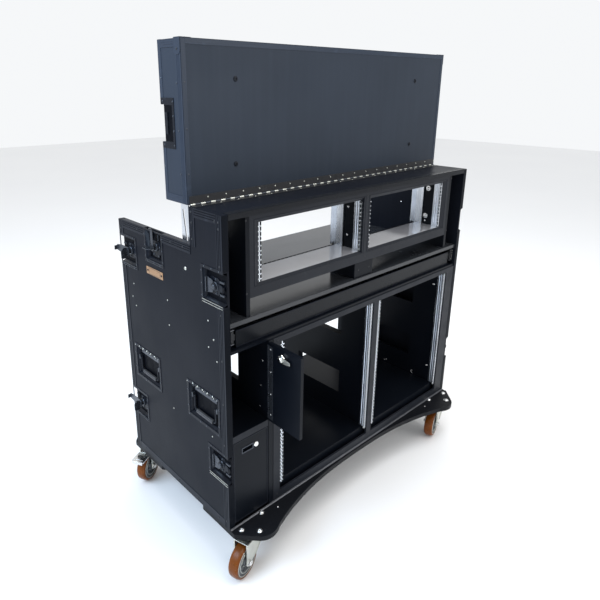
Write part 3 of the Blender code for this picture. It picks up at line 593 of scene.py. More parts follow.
def side_profiles():
    """Profiles along the side panels' edges, broken off at the latch dishes."""
    wide, bottom = PROFILE_WIDTH, BASE_TOP + 0.0006
    for word, side in SIDES:
        face = ("X", side * HALF)
        board_edge = ("X", *layer(side, INNER + 0.001, HALF))
        upright, edge, dark, level = Shape(), Shape(), Shape(), Shape()
        for span in free_spans(bottom, TOP, latch_gaps("front")):
            strip(upright, "Z", span, ("Y", 0.0, wide), face, side, True, dark)
            strip(edge, "Z", span, board_edge, ("Y", 0.0), -1, False)
        for span in free_spans(bottom, REAR_TOP, latch_gaps("rear")):
            strip(upright, "Z", span, ("Y", DEPTH - wide, DEPTH), face, side, True, dark)
            strip(edge, "Z", span, board_edge, ("Y", DEPTH), 1, False)
        strip(upright, "Z", (REAR_TOP, TOP), ("Y", STEP_Y - wide, STEP_Y), face, side, True, dark)
        upright.done(f"{word}_upright_profiles", PROFILE["Z"], "case", 0.0003, 1)
        edge.done(f"{word}_edge_profiles", EDGE_PROFILE, "case", 0.0003, 1)
        strip(level, "Y", (wide, STEP_Y - wide), ("Z", TOP - wide, TOP), face, side, True, dark)
        strip(level, "Y", (wide, DEPTH - wide), ("Z", bottom, bottom + wide), face, side, False)
        for span in free_spans(STEP_Y, DEPTH - wide, latch_gaps("top")):
            strip(level, "Y", span, ("Z", REAR_TOP - wide, REAR_TOP), face, side, True, dark)
            strip(level, "Y", span, board_edge, ("Z", REAR_TOP), 1, False)
        level.done(f"{word}_level_profiles", PROFILE["Y"], "case", 0.0003, 1)
        # Groove floors in near-black: painted shade between the profiles' ribs.
        dark.done(f"{word}_profile_groove_shade", SHADE_BLACK, "case")


def front_profiles():
    """Profiles across the front edge of the top, the rear edge of the base and the front sill."""
    bottom = BASE_TOP + 0.0006
    across = Shape()
    strip(across, "X", (-INNER, INNER), ("Y", 0.0, 0.024), ("Z", TOP), 1)
    strip(across, "X", (-INNER, INNER), ("Z", TOP - 0.0165, TOP), ("Y", 0.0), -1)
    strip(across, "X", (-INNER, INNER), ("Z", bottom, bottom + 0.014), ("Y", DEPTH - 0.0028), 1, False)
    across.done("top_front_profile", TOP_PROFILE, "case", 0.0003, 1)
    section = [(-0.005, 0.0004), (0.0, 0.0004), (0.0, 0.0056), (-0.0012, 0.0056), (-0.0018, 0.0024),
               (-0.005, 0.0014)]
    sill = Shape().prism([(y, BASE_TOP + rise) for y, rise in section], "X", -HALF + 0.001, HALF - 0.001)
    sill.done("front_sill_strip", DULL_ZINC, "case", 0.0003, 1)


def rivets():
    """Rivets and screws in the side panels' profiles and boards, at (Y, height)."""
    screws = ((0.537, 0.901), (0.552, 0.848), (0.531, 0.817), (0.309, 0.906), (0.307, 0.817),
              (0.081, 0.91), (0.056, 0.855), (0.083, 0.821), (0.042, 0.787), (0.311, 0.494),
              (0.081, 0.501))
    corner = ((0.032, 1.225), (0.016, 1.224), (0.015, 1.205))
    inside = ((0.062, 1.196), (0.074, 1.12), (0.086, 1.046), (0.3, 1.06), (0.5, 1.06))
    inset = 0.014
    uprights = [(y, BASE_TOP + 0.03 + k * 0.148) for k in range(7) for y in (inset, DEPTH - inset)]
    pins = [(y, z) for y, z in uprights if z < REAR_TOP - 0.02 and clear_of_latches(y, z)]
    pins += [(0.06 + k * 0.122, BASE_TOP + inset) for k in range(5)]
    pins += [(y, REAR_TOP - inset) for y in (0.2, 0.27, 0.48)]
    pins += [(STEP_Y - 0.013, z) for z in (1.15, 1.2, 1.232)]
    for word, side in SIDES:
        skin, raised, out = side * HALF, side * (HALF + ON_PROFILE), (side, 0, 0)
        heads = Shape().socket_head((skin, 0.191, 1.047), out, 0.0058, 0.0024, 18)
        heads.domes([(skin, *at) for at in screws], out, 0.0027, 0.0012)
        heads.done(f"{word}_panel_screws", ZINC, "case")
        heads = Shape().domes([(raised, *at) for at in corner], out, 0.0034, 0.0016)
        heads.domes([(raised, *at) for at in pins], out, 0.0033, 0.0015)
        heads.done(f"{word}_profile_rivets", DARK, "case")
        heads = Shape().domes([(side * INNER, *at) for at in inside], (-side, 0, 0), 0.0036, 0.0016)
        heads.done(f"{word}_inner_screws", BRIGHT, "case")


def clear_of_latches(y, z):
    """Whether a rivet at (y, z) on a side panel stands clear of every latch dish."""
    reach = LATCH_HALF + 0.008
    return all(abs(y - latch[0]) > reach or abs(z - latch[1]) > reach for latch in LATCHES.values())


# --- latches and handles ------------------------------------------------------------------------

# A dish that is open to an edge of its panel: which bound of the dish meets that edge, how and where it
# is held to it, and which of its four walls is left out.
OPEN_EDGES = {"front": (0, max, -0.0002, 3), "rear": (2, min, DEPTH + 0.0002, 1),
              "top": (3, min, REAR_TOP + 0.0002, 2)}
TOWARD = {"front": (-1, 0), "rear": (1, 0), "top": (0, 1)}      # from a latch's pivot to its edge, in Y and Z
OPEN_HOOKS = {"rear": (0.08, 0.015, 0.0105, 0.029),     # reach, half widths at root and tip, claw height
              "top": (0.066, 0.0075, 0.007, 0.025)}


def dish(shape, side, middle, half, depth, flange, open_to=None):
    """A pressed dish let into the side panel: flange, sloping walls and floor.

    Returns its outline with the flange and the outline of its floor, as (low Y, low Z, high Y, high Z).
    """
    def grown(box, by):
        return [box[0] - by, box[1] - by, box[2] + by, box[3] + by]

    mouth = [middle[0] - half[0], middle[1] - half[1], middle[0] + half[0], middle[1] + half[1]]
    outer, inner = grown(mouth, flange), grown(mouth, -0.003)
    low = grown(inner, -0.006)
    missing = None
    if open_to:
        bound, hold, limit, missing = OPEN_EDGES[open_to]
        outer[bound] = hold(outer[bound], limit)
        inner[bound] = low[bound] = hold(mouth[bound], limit)
    shape.plate(outer, inner, "X", *layer(side, HALF, HALF + DISH_SHEET))
    rim_x, floor_x = side * (HALF + DISH_SHEET * 0.5), side * (HALF - depth + 0.0001 + DISH_SHEET)
    rim = [shape.bm.verts.new((rim_x, *point)) for point in square(*inner)]
    floor = [shape.bm.verts.new((floor_x, *point)) for point in square(*low)]
    for k in range(4):
        after = (k + 1) % 4
        if k != missing:
            shape.bm.faces.new((rim[k], rim[after], floor[after], floor[k]))
    shape.bm.faces.new(floor)
    return outer, low


def dish_floor_shade(name, side, low, depth, thickness):
    """A near-black sheet over a dish's floor: painted shade in the dish's hollow."""
    inset, start = 0.001, HALF - depth + 0.0009
    outline = square(low[0] + inset, low[1] + inset, low[2] - inset, low[3] - inset)
    Shape().prism(outline, "X", *layer(side, start, start + thickness)).done(name, SHADE_BLACK, "case")


def sheet_metal(piece):
    """Gives an open pressing its sheet thickness."""
    solid = piece.modifiers.new("sheet", "SOLIDIFY")
    solid.thickness = 0.0008
    solid.offset = 0


def latch_fixed(name, side, y, z, edge):
    """Dish, floor darkened with painted shade, pivot plate and rivets of a recessed butterfly latch."""
    body = Shape()
    outer, low = dish(body, side, (y, z), (LATCH_HALF, LATCH_HALF), LATCH_DEPTH, 0.006, edge)
    sheet_metal(body.done(f"{name}_dish", DISH, "case"))
    # The dish's floor is covered with a near-black sheet of painted shade.
    dish_floor_shade(f"{name}_floor", side, low, LATCH_DEPTH, 0.0011)
    toward = TOWARD[edge]
    out = (side, 0, 0)
    floor = HALF - LATCH_DEPTH + 0.002
    plate_top = floor + 0.0021

    def at(ahead, over):
        """A place in the dish: `ahead` counts towards the panel's edge."""
        return (y + toward[0] * ahead + abs(toward[1]) * over, z + toward[1] * ahead + abs(toward[0]) * over)

    outline = mirrored([(-0.036, 0.015), (-0.02, 0.027), (0.012, 0.027), (0.02, 0.02)])
    mount = Shape().prism([at(*point) for point in outline], "X", *layer(side, floor, plate_top))
    mount.done(f"{name}_mount", DISH, "case", 0.0004)
    base = Shape()
    for ahead, over in ((-0.029, 0.0155), (0.002, 0.0215)):
        base.domes([(side * plate_top, *at(ahead, sign * over)) for sign in (-1, 1)], out, 0.004, 0.0022)
    for over in (-0.02, 0.02):
        post = [at(*point) for point in square(0.024, over - 0.003, 0.044, over + 0.003)]
        base.prism(post, "X", *layer(side, floor, floor + 0.0059))
    inset, bound = 0.0038, OPEN_EDGES[edge][0]
    for share in (0.5 / 3, 1.5 / 3, 2.5 / 3):
        a = outer[0] + (outer[2] - outer[0]) * share
        b = outer[1] + (outer[3] - outer[1]) * share
        for place in ((a, outer[1] + inset), (a, outer[3] - inset), (outer[0] + inset, b),
                      (outer[2] - inset, b)):
            if abs(place[bound % 2] - outer[bound]) > 0.01:
                base.dome((side * (HALF + DISH_SHEET), *place), out, 0.003, 0.0015)
    base.done(f"{name}_base", STEEL, "case", 0.0006)
    # Two thin rods along the bottom flange; zinc-bright on the front latches as painted highlights of the
    # flange's rolled edge.
    lip = Shape()
    lip_x = side * (HALF + DISH_SHEET + 0.0004)
    for height in (outer[1] + 0.0006, outer[1] + 0.0084):
        lip.rod((lip_x, outer[0] + 0.004, height), (lip_x, outer[2] - 0.004, height), 0.0009, 8)
    lip.done(f"{name}_lip", ZINC if edge == "front" else STEEL, "case")


def latch_key(name, side, y, z, edge):
    """The moving part of a butterfly latch: drum, hook and wing, built about its pivot.

    The front ones are folded flat; the others stand open with their hooks past the panel's edge.
    """
    floor = HALF - LATCH_DEPTH + 0.0003
    turn = {"front": 0.0, "rear": math.pi, "top": -math.pi / 2}[edge]
    placed = Matrix.Translation((0, y, z)) @ Matrix.Rotation(turn, 4, "X")
    key = Shape()

    def slab(outline, low, high, into=key):
        into.prism(outline, "X", *layer(side, floor + low, floor + high))

    def turned(rise, profile, sides, into=key):
        into.lathe((side * (floor + rise), 0, 0), (side, 0, 0), profile, sides)

    turned(0.0036, [(0.0, 0), (0.015, 0), (0.015, 0.004), (0.0138, 0.0056), (0.01, 0.0062),
                    (0.0086, 0.0086), (0.0055, 0.0094), (0, 0.0094)], 24)
    if edge == "front":
        hook = Shape()
        arm = [(-0.0435, 0.0)] + mirrored([(-0.036, 0.008), (-0.026, 0.011), (0.0, 0.011)])
        wing = mirrored([(0.004, 0.015), (0.009, 0.02), (0.035, 0.025), (0.0375, 0.0225)])
        slab(arm, 0.004, 0.0072, hook)
        slab(square(-0.0435, -0.008, -0.0395, 0.008), 0.0042, 0.0125, hook)
        turned(0.011, [(0.008, 0), (0.0128, 0), (0.0124, 0.0012), (0.008, 0.0012)], 24, hook)
        hook.moved(placed).done(f"{name}_hook", DISH, f"{name}_key", 0.0005)
        slab(wing, 0.0088, 0.011)
        slab(mirrored([(0.0335, 0.0246), (0.0375, 0.0225)]), 0.0108, 0.015)
        turned(0.0088, [(0.008, 0), (0.008, 0.0052), (0.0062, 0.0068), (0, 0.0068)], 20)
    else:
        reach, wide, tip, claw = OPEN_HOOKS[edge]
        turned(0.01, [(0.01, 0), (0.01, 0.0072), (0.012, 0.0076), (0.012, 0.01), (0, 0.01)], 20)
        slab([(0.01, -wide), (-0.045, -wide), (-reach + 0.006, -tip), (-reach, -tip * 0.5), (-reach, tip),
              (-0.045, wide), (0.01, wide)], 0.0174, 0.0196)
        slab(square(-reach, -tip * 0.5, -reach + 0.0022, tip), 0.018, claw)
        wing = [(0.019, -0.011), (0.019, 0.011), (0.024, 0.025), (0.04, 0.0255), (0.044, 0.022),
                (0.044, -0.004), (0.033, -0.016)]
        key.prism([(side * (floor + rise), over) for rise, over in wing], "Y", -0.0013, 0.0013)
        pin_x = side * (floor + 0.034)
        key.rod((pin_x, -0.0024, 0.012), (pin_x, 0.0024, 0.012), 0.0042, 14)
    key.moved(placed).done(f"{name}_key", STEEL, f"{name}_key", 0.0005, replaces=(name,), slot="latch")


def handle_set(name, side, y, z):
    """Recessed carrying handle: riveted dish, bail with a rubber sleeve, springs."""
    body = Shape()
    outer, low = dish(body, side, (y, z), HANDLE_HALF, HANDLE_DEPTH, 0.007)
    sheet_metal(body.done(f"{name}_dish", DISH, "case"))
    # The dish's floor is covered with a near-black sheet of painted shade.
    dish_floor_shade(f"{name}_floor", side, low, HANDLE_DEPTH, 0.0008)
    pivot_x, pivot_z = side * (HALF - 0.0075), z + 0.012
    skin, out = side * (HALF + DISH_SHEET), (side, 0, 0)
    handle_fixings(name, side, y, z, outer, pivot_x, pivot_z)
    half, drop, corner = 0.058, 0.05, 0.012
    left = arc((-half + corner, -drop + corner), corner, 180, 270, 5)
    right = arc((half - corner, -drop + corner), corner, 270, 360, 5)
    route = [(-half, 0.005)] + left + right + [(half, 0.005)]
    bail = Shape().tube([(pivot_x, y + a, pivot_z + b) for a, b in route], 0.0042, 12)
    for sign in (-1, 1):
        ends = sorted((y + sign * (half + 0.0055), y + sign * (half - 0.003)))
        bail.rod((pivot_x, ends[0], pivot_z), (pivot_x, ends[1], pivot_z), 0.0036, 10)
    bail.done(f"{name}_bail_wire", DISH, f"{name}_bail", replaces=(name,), slot="handle")
    grip_z, grip_half, rings = pivot_z - drop, 0.044, 12
    profile = [(0.007 if k % 2 else 0.0066, 2 * grip_half * k / (rings - 1)) for k in range(rings)]
    sleeve = Shape().lathe((pivot_x + side * 0.0002, y - grip_half, grip_z), (0, 1, 0),
                           [(0.0042, 0)] + profile + [(0.0042, 2 * grip_half)], 16)
    sleeve.done(f"{name}_sleeve", RUBBER, f"{name}_bail")
    # Three thin pale rods along the rubber sleeve: painted highlight lines on the grip.
    lines = Shape()
    for beyond, up in ((0.0052, 0.0048), (0.007, 0.0004), (0.0052, -0.0044)):
        ends = [(pivot_x + side * beyond, y + sign * 0.043, grip_z + up) for sign in (-1, 1)]
        lines.rod(*ends, 0.0011, 8)
    lines.done(f"{name}_grip_highlight_rods", DULL_ZINC, f"{name}_bail")
    row = Shape()
    for k in range(7):
        a = outer[0] + 0.009 + (outer[2] - outer[0] - 0.018) * k / 6
        row.dome((skin, a, outer[3] - 0.0042), out, 0.003, 0.0018)
        row.dome((skin - side * 0.0004, a + 0.006 * (-1) ** k, outer[3] - 0.0085), out, 0.0022, 0.0012)
    row.done(f"{name}_rivets", ZINC, "case")


def handle_fixings(name, side, y, z, outer, pivot_x, pivot_z):
    """The handle's spring housing, its pivot lugs and the dark rivets of its dish."""
    skin, out = side * (HALF + DISH_SHEET), (side, 0, 0)
    fixings = Shape()
    floor_x = side * (HALF - HANDLE_DEPTH + 0.0048)
    for k in range(6):
        a = outer[0] + 0.01 + (outer[2] - outer[0] - 0.02) * k / 5
        fixings.dome((skin, a, outer[3] - 0.005), out, 0.0044, 0.0022)
        fixings.dome((floor_x, a * 0.9 + y * 0.1, z + 0.046), out, 0.0042, 0.0026)
        if k in (0, 2, 3, 5):
            fixings.dome((skin, a, outer[1] + 0.005), out, 0.0036, 0.0018)
    for b in (z - 0.03, z + 0.03):
        fixings.domes([(skin, outer[0] + 0.005, b), (skin, outer[2] - 0.005, b)], out, 0.0036, 0.0018)
    floor = HALF - HANDLE_DEPTH + DISH_SHEET
    low_x, high_x = layer(side, floor, HALF - 0.003)
    for sign in (-1, 1):
        a0, a1 = sorted((y + sign * 0.0645, y + sign * 0.0715))
        fixings.box((low_x, a0, pivot_z - 0.007), (high_x, a1, pivot_z + 0.01))
    low_x, high_x = layer(side, floor, floor + 0.004)
    fixings.box((low_x, y - 0.06, z + 0.034), (high_x, y + 0.06, z + 0.05))
    fixings.rod((pivot_x, y - 0.0715, pivot_z), (pivot_x, y - 0.064, pivot_z), 0.003, 10)
    fixings.done(f"{name}_fixings", STEEL, "case", 0.0006)


def hardware():
    """Latches and handles of both sides, and the blank nameplate on the left one."""
    for word, side in SIDES:
        for where, (y, z, edge) in LATCHES.items():
            latch_fixed(f"{word}_{where}_latch", side, y, z, edge)
            latch_key(f"{word}_{where}_latch", side, y, z, edge)
        for where, (y, z) in HANDLES.items():
            handle_set(f"{word}_{where}_handle", side, y, z)
    face = -HALF - 0.0014
    Shape().prism(rounded(0.328, 0.9695, 0.433, 0.9955, 0.002), "X", face, -HALF).done(
        "nameplate", BRASS, "case", 0.0003)
    border = Shape().plate((0.3445, 0.972, 0.4165, 0.993), (0.3455, 0.973, 0.4155, 0.992), "X",
                           face - 0.0002, face + 0.0001)
    border.done("nameplate_border", DARK, "case")
    heads = Shape()
    for y in (0.337, 0.424):
        heads.socket_head((face, y, 0.9825), (-1, 0, 0), 0.0038, 0.0016)
    heads.done("nameplate_screws", DARK, "case")


# --- lid ----------------------------------------------------------------------------------------

LID_FRONT, LID_REAR = STEP_Y + 0.003, STEP_Y + 0.119
LID_LOW = PIN.z + 0.0005
LID_HIGH = LID_LOW + 0.4535
LID_REAR_LEG = 0.016                        # width of the profile along the lid's rear rim
NOTCH = (0.262, 1.423, 1.528)               # keeper notch in the lid's rim: from this Y, between heights


def lid_trim():
    """Profiles, rivets and bolts of the lid."""
    wide, end_leg = 0.015, 0.022
    rear_leg = ("Y", LID_REAR - LID_REAR_LEG, LID_REAR)
    span = (LID_LOW + 0.002, LID_HIGH)
    upright, level, across = Shape(), Shape(), Shape()
    for side in (-1, 1):
        face = ("X", side * HALF)
        strip(upright, "Z", span, ("X", *layer(side, HALF - wide, HALF)), ("Y", LID_FRONT), -1, False)
        strip(upright, "Z", span, ("Y", LID_FRONT, LID_FRONT + end_leg), face, side)
        for low, high in ((span[0], NOTCH[1] - 0.004), (NOTCH[2] + 0.004, span[1])):
            strip(upright, "Z", (low, high), rear_leg, face, side, False)
        for low in (LID_LOW + 0.001, LID_HIGH - end_leg):
            strip(level, "Y", (LID_FRONT + end_leg, rear_leg[1]), ("Z", low, low + end_leg), face, side)
    upright.done("lid_upright_profiles", LID_PROFILE["Z"], "lid", 0.0003, 1)
    level.done("lid_side_profiles", LID_PROFILE["Y"], "lid", 0.0003, 1)
    for inset, leg, face, outward, ribs in (
            (wide, ("Z", LID_HIGH - wide, LID_HIGH), ("Y", LID_FRONT), -1, False),
            (0.0, ("Y", LID_FRONT, LID_FRONT + 0.024), ("Z", LID_HIGH), 1, True),
            (0.0, rear_leg, ("Z", LID_HIGH), 1, False),
            (0.03, ("Z", LID_HIGH - 0.009, LID_HIGH - 0.0004), ("Y", LID_REAR), 1, False)):
        strip(across, "X", (inset - HALF, HALF - inset), leg, face, outward, ribs)
    across.done("lid_cross_profiles", LID_PROFILE["X"], "lid", 0.0003, 1)
    heads = Shape()
    for x, z in ((-0.465, 1.599), (0.456, 1.599), (0.449, 1.35), (-0.469, 1.352)):
        heads.socket_head((x, LID_FRONT, z), (0, -1, 0), 0.008, 0.0024, 18)
    heads.done("lid_face_bolts", DISH, "lid")
    pins = Shape()
    for side in (-1, 1):
        end = side * (HALF + ON_PROFILE)
        pins.domes([(side * 0.642, LID_FRONT - ON_PROFILE, z) for z in (1.589, 1.464, 1.337)], (0, -1, 0),
                   0.0026, 0.0012)
        places = [(end, 0.188, z) for z in (1.587, 1.458, 1.336)]
        places += [(end, LID_REAR - 0.009, z) for z in (1.6, 1.35)]
        pins.domes(places, (side, 0, 0), 0.003, 0.0014)
    top = LID_HIGH + ON_PROFILE
    pins.domes([(-0.56 + 0.14 * k, y, top) for k in range(9) for y in (LID_FRONT + 0.012, LID_REAR - 0.009)],
               (0, 0, 1), 0.003, 0.0014)
    pins.done("lid_profile_rivets", STEEL, "lid")


def corners():
    """Flat riveted corner plates over the lid's end walls and its long upper wall."""
    caps, pins = Shape(), Shape()
    size, sheet, cut = 0.036, 0.0012, 0.008
    top = LID_HIGH + PROUD
    y0, y1 = LID_FRONT - 0.0004, LID_FRONT + 0.03
    middle = (y0 + y1) / 2
    for side in (-1, 1):
        end = HALF + PROUD
        caps.prism([(y0, top), (y0, top - size), (y0 + cut, top - size - cut), (y1 - cut, top - size - cut),
                    (y1, top - size), (y1, top)], "X", *layer(side, end, end + sheet))
        low_x, high_x = layer(side, end + sheet, end - size)
        caps.box((low_x, y0, top), (high_x, y1, top + sheet))
        pins.dome((side * (end + sheet), middle, top - size * 0.8), (side, 0, 0), 0.0032, 0.0015)
        pins.dome((side * (end - size * 0.7), middle, top + sheet), (0, 0, 1), 0.0032, 0.0015)
    caps.done("lid_corner_plates", LID_PROFILE["Z"], "lid", 0.0005)
    pins.done("lid_corner_rivets", DARK, "lid")


def keepers():
    """Recesses in the lid's end walls that the case's lid latches hook into."""
    shape, dark, pins = Shape(), Shape(), Shape()
    y0, y1, z0, z1 = 0.214, NOTCH[0], 1.411, 1.541
    rear = LID_REAR - 0.001
    frame, face = (HALF + 0.0002, HALF + 0.0016), HALF + 0.0016
    for side in (-1, 1):
        levels, out = layer(side, *frame), (side, 0, 0)
        for edge, lip, inward in ((z0, NOTCH[1], 1), (z1, NOTCH[2], -1)):
            outer, hollow = edge - inward * 0.006, lip - inward * 0.001
            step, inner = edge + inward * 0.002, edge + inward * 0.014
            shape.prism([(y0 - 0.006, outer), (rear, outer), (rear, hollow), (y1 - 0.002, hollow),
                         (y1 - 0.002, inner), (y0 + 0.004, inner), (y0 + 0.004, step), (y0 - 0.006, step)],
                        "X", *levels)
        shape.prism(square(y0 - 0.006, z0 + 0.002, y0 + 0.004, z1 - 0.002), "X", *levels)
        # A near-black sheet flush on the lid's end wall: painted shade standing in for the depth of the
        # keeper's recess.
        dark.prism(square(y0 + 0.003, z0 + 0.013, y1 - 0.001, z1 - 0.013), "X",
                   *layer(side, HALF + 0.0001, HALF + 0.0005))
        low_x, high_x = layer(side, HALF + 0.0004, HALF + 0.003)
        shape.box((low_x, y1 - 0.02, 1.445), (high_x, y1 - 0.006, 1.507))
        places = [(side * face, y0 - 0.001, b) for b in (z0 + 0.004, z0 + 0.044, z1 - 0.044, z1 - 0.004)]
        places += [(side * face, LID_REAR - 0.012, b) for b in (z0 + 0.004, z1 - 0.004)]
        pins.domes(places, out, 0.0028, 0.0014)
    shape.done("lid_keeper_dishes", DISH, "lid", 0.0004)
    dark.done("lid_keeper_recess_shade", SHADE_BLACK, "lid")
    pins.done("lid_keeper_rivets", STEEL, "lid")


def stays():
    """Slotted flat bars, bracketed to the lid and guided by a stud on the side panel.

    The slot slants, so that the stud lies in it at both ends of the lid's travel.
    """
    y, z = 0.216, TOP + 0.045
    half, slot_half, length = 0.02, 0.0042, 0.2
    slot_y = y - 0.0085
    lean = math.degrees(math.atan2(0.015, 0.099))
    outer = arc((y, z), half, 0, 180, 10) + arc((y, z - length), half, 180, 360, 10)
    inner = (arc((slot_y + 0.0159, z - 0.07), slot_half, -lean, 180 - lean, 10)
             + arc((slot_y - 0.0009, z - 0.181), slot_half, 180 - lean, 360 - lean, 10))
    for word, side in SIDES:
        x = INNER - 0.004
        bar = Shape()
        rings = [[[bar.bm.verts.new((place, *point)) for point in line] for line in (outer, inner)]
                 for place in layer(side, x - 0.0015, x + 0.0015)]
        for end in rings:
            bar.skin_between(*end)
        for ring in (0, 1):
            bar.skin_between(rings[0][ring], rings[1][ring])
        bar.done(f"lid_stay_{word}_bar", RAIL, f"lid_stay_{word}_arm", 0.0004,
                 replaces=(f"lid_stay_{word}",), slot="stay")
        bolt = Shape()
        bolt.lathe((side * (x + 0.0015), y, z), (side, 0, 0),
                   [(0, 0), (0.0055, 0), (0.0055, 0.015), (0, 0.015)], 14)
        bolt.socket_head((side * (x - 0.0015), y, z), (-side, 0, 0), 0.007, 0.003)
        bolt.done(f"lid_stay_{word}_bolt", BRIGHT, "lid")
        stud = Shape()
        stud.lathe((side * INNER, slot_y, TOP - 0.13), (-side, 0, 0),
                   [(0.009, 0), (0.009, 0.0012), (0.0034, 0.0012), (0.0034, 0.0062), (0.0085, 0.0062),
                    (0.0085, 0.0085), (0, 0.0085)], 16)
        stud.done(f"lid_stay_{word}_stud", BRIGHT, "case")


def hinge_detail():
    """Knuckle joints and countersunk screws of the piano hinge."""
    length, pitch, radius = 1.288, 0.0184, 0.0031
    knuckle = pitch * 0.92
    profile = [(radius - 0.0006, 0), (radius, 0.0006), (radius, knuckle - 0.0006), (radius - 0.0006, knuckle)]
    bright, dark = Shape(), Shape()
    for k in range(int(length / pitch)):
        x = -length / 2 + pitch * (k + 0.5) - knuckle / 2
        (dark if k % 2 else bright).lathe((x, PIN.y, PIN.z), (1, 0, 0), profile, 12)
    bright.done("lid_hinge_knuckles", ZINC, "case")
    dark.done("lid_hinge_lid_knuckles", STEEL, "lid")
    low, high = Shape(), Shape()
    for k in range(19):
        x = -0.612 + 0.068 * k
        low.socket_head((x, STEP_Y - 0.0165, TOP + 0.0015), (0, 0, 1), 0.0026, 0.001, 10)
        high.socket_head((x + 0.034, LID_FRONT - 0.0015, PIN.z + 0.0165), (0, -1, 0), 0.0026, 0.001, 10)
    low.done("lid_hinge_case_screws", ZINC, "case")
    high.done("lid_hinge_lid_screws", ZINC, "lid")


# --- rack bays ----------------------------------------------------------------------------------

LOWER_BAYS = {"lower_left": (-0.426, 0.0597), "lower_right": (0.0888, 0.573)}
UPPER_BAYS = {"upper_left": (-0.503, -0.0175), "upper_right": (0.0175, 0.503)}
RAIL_GAP, RAIL_SHEET = 0.0003, 0.002
RACK_STEPS = (0.01588, 0.01588, 0.01269)           # hole spacing, repeated once in each rack unit
BAY_FLOOR = BASE_TOP + 0.8346                      # of the upper bays


def punched_rail(name, node, edge, inward, leg, front, low, high):
    """An L-shaped rail whose front leg carries square cage-nut holes in rack pitch."""
    narrow = leg < 0.015
    depth = 0.035
    slot_half = 0.0018 if narrow else 0.0021
    start = edge + inward * RAIL_GAP
    hole_x = edge + inward * (0.0048 if narrow else leg * 0.52)
    a, d = sorted((start, edge + inward * leg))
    levels = (front, front + RAIL_SHEET)
    rail = Shape()
    edges, place, step = [low], low + 0.008, 0
    while place + slot_half < high - 0.003:
        edges += [place - slot_half, place + slot_half]
        place += RACK_STEPS[step % 3]
        step += 1
    edges.append(high)
    for bottom, top in zip(edges[::2], edges[1::2]):
        rail.prism(square(a, bottom, d, top), "Y", *levels)
    for left, right in ((a, hole_x - slot_half), (hole_x + slot_half, d)):
        if right - left > 0.0006:
            rail.prism(square(left, low, right, high), "Y", *levels)
    side = sorted((start, start + inward * RAIL_SHEET))
    rail.box((side[0], front + RAIL_SHEET * 0.5, low), (side[1], front + depth, high))
    crease = sorted((start + inward * RAIL_SHEET * 0.5, start + inward * (RAIL_SHEET + 0.0022)))
    for share in (0.2, 0.46, 0.72):
        ridge = front + depth * share
        rail.box((crease[0], ridge, low + 0.0004), (crease[1], ridge + 0.0036, high - 0.0004))
    rail.done(name, RAIL, "case", replaces=(node,), slot="rack_rail")


def rear_rail(name, edge, inward, low, high):
    """The rear rail of an upper bay: flat against the wall with a folded lip at each side."""
    start = edge + inward * RAIL_GAP
    front, rear = 0.102, 0.151
    rail = Shape()
    for reach, y0, y1 in ((RAIL_GAP + RAIL_SHEET, front, rear), (0.018, rear - RAIL_SHEET, rear),
                          (0.007, front, front + RAIL_SHEET)):
        low_x, high_x = sorted((start, edge + inward * reach))
        rail.box((low_x, y0, low), (high_x, y1, high))
    rail.done(name, RAIL, "case", 0.0003, 1)


def rails():
    """The front rails of all four bays and the rear rails of the upper ones."""
    lower = (BASE_TOP + 0.062, BASE_TOP + 0.616)
    upper = (BASE_TOP + 0.8355, BASE_TOP + 1.021)
    bays = [(bay, span, 0.018, 0.003, lower) for bay, span in LOWER_BAYS.items()]
    bays += [(bay, span, 0.013, 0.0203, upper) for bay, span in UPPER_BAYS.items()]
    for bay, span, leg, front, heights in bays:
        for word, edge, inward in (("left", span[0], 1), ("right", span[1], -1)):
            node = f"{bay}_bay_{word}_rail"
            punched_rail(node + "_punched", node, edge, inward, leg, front, *heights)
            if bay in UPPER_BAYS:
                rear_rail(f"{bay}_bay_{word}_rear_rail", edge, inward, *heights)


def bay_floors():
    """Pale sheets of painted reflection on the upper bays' floors, dashes of painted shadow along their rear
    edge, and the frame's beads.
    """
    reflection_sheet, edge_shadow, bead = Shape(), Shape(), Shape()
    shadow_dashes = 24
    z0, z1 = BASE_TOP + 0.8275, BASE_TOP + 1.0335
    for side in (-1, 1):
        low, high = layer(side, 0.0178, 0.5026)
        # A pale sheet over each floor: painted reflection.
        reflection_sheet.box((low, 0.0205, BAY_FLOOR), (high, 0.136, BAY_FLOOR + 0.0008))
        # Dashes of near-black just behind each floor's rear edge: painted shadow along that edge.
        for k in range(shadow_dashes):
            x = low + 0.006 + (high - low - 0.012) * k / shadow_dashes
            edge_shadow.box((x, 0.1362, BAY_FLOOR), (x + 0.015, 0.1386, BAY_FLOOR + 0.0026))
        a, b = layer(side, 0.01, 0.523)
        bead.plate((a - 0.0014, z0 - 0.0014, b + 0.0014, z1 + 0.0014), (a, z0, b, z1), "Y", 0.0122, 0.0132)
    reflection_sheet.done("upper_bay_floor_reflection_sheets", FLOOR_REFLECTION_SHEET, "case", 0.0002, 1)
    edge_shadow.done("upper_bay_floor_edge_shadows", SHADE_BLACK, "case")
    bead.done("upper_frame_beads", PROFILE["X"], "case", 0.0002, 1)


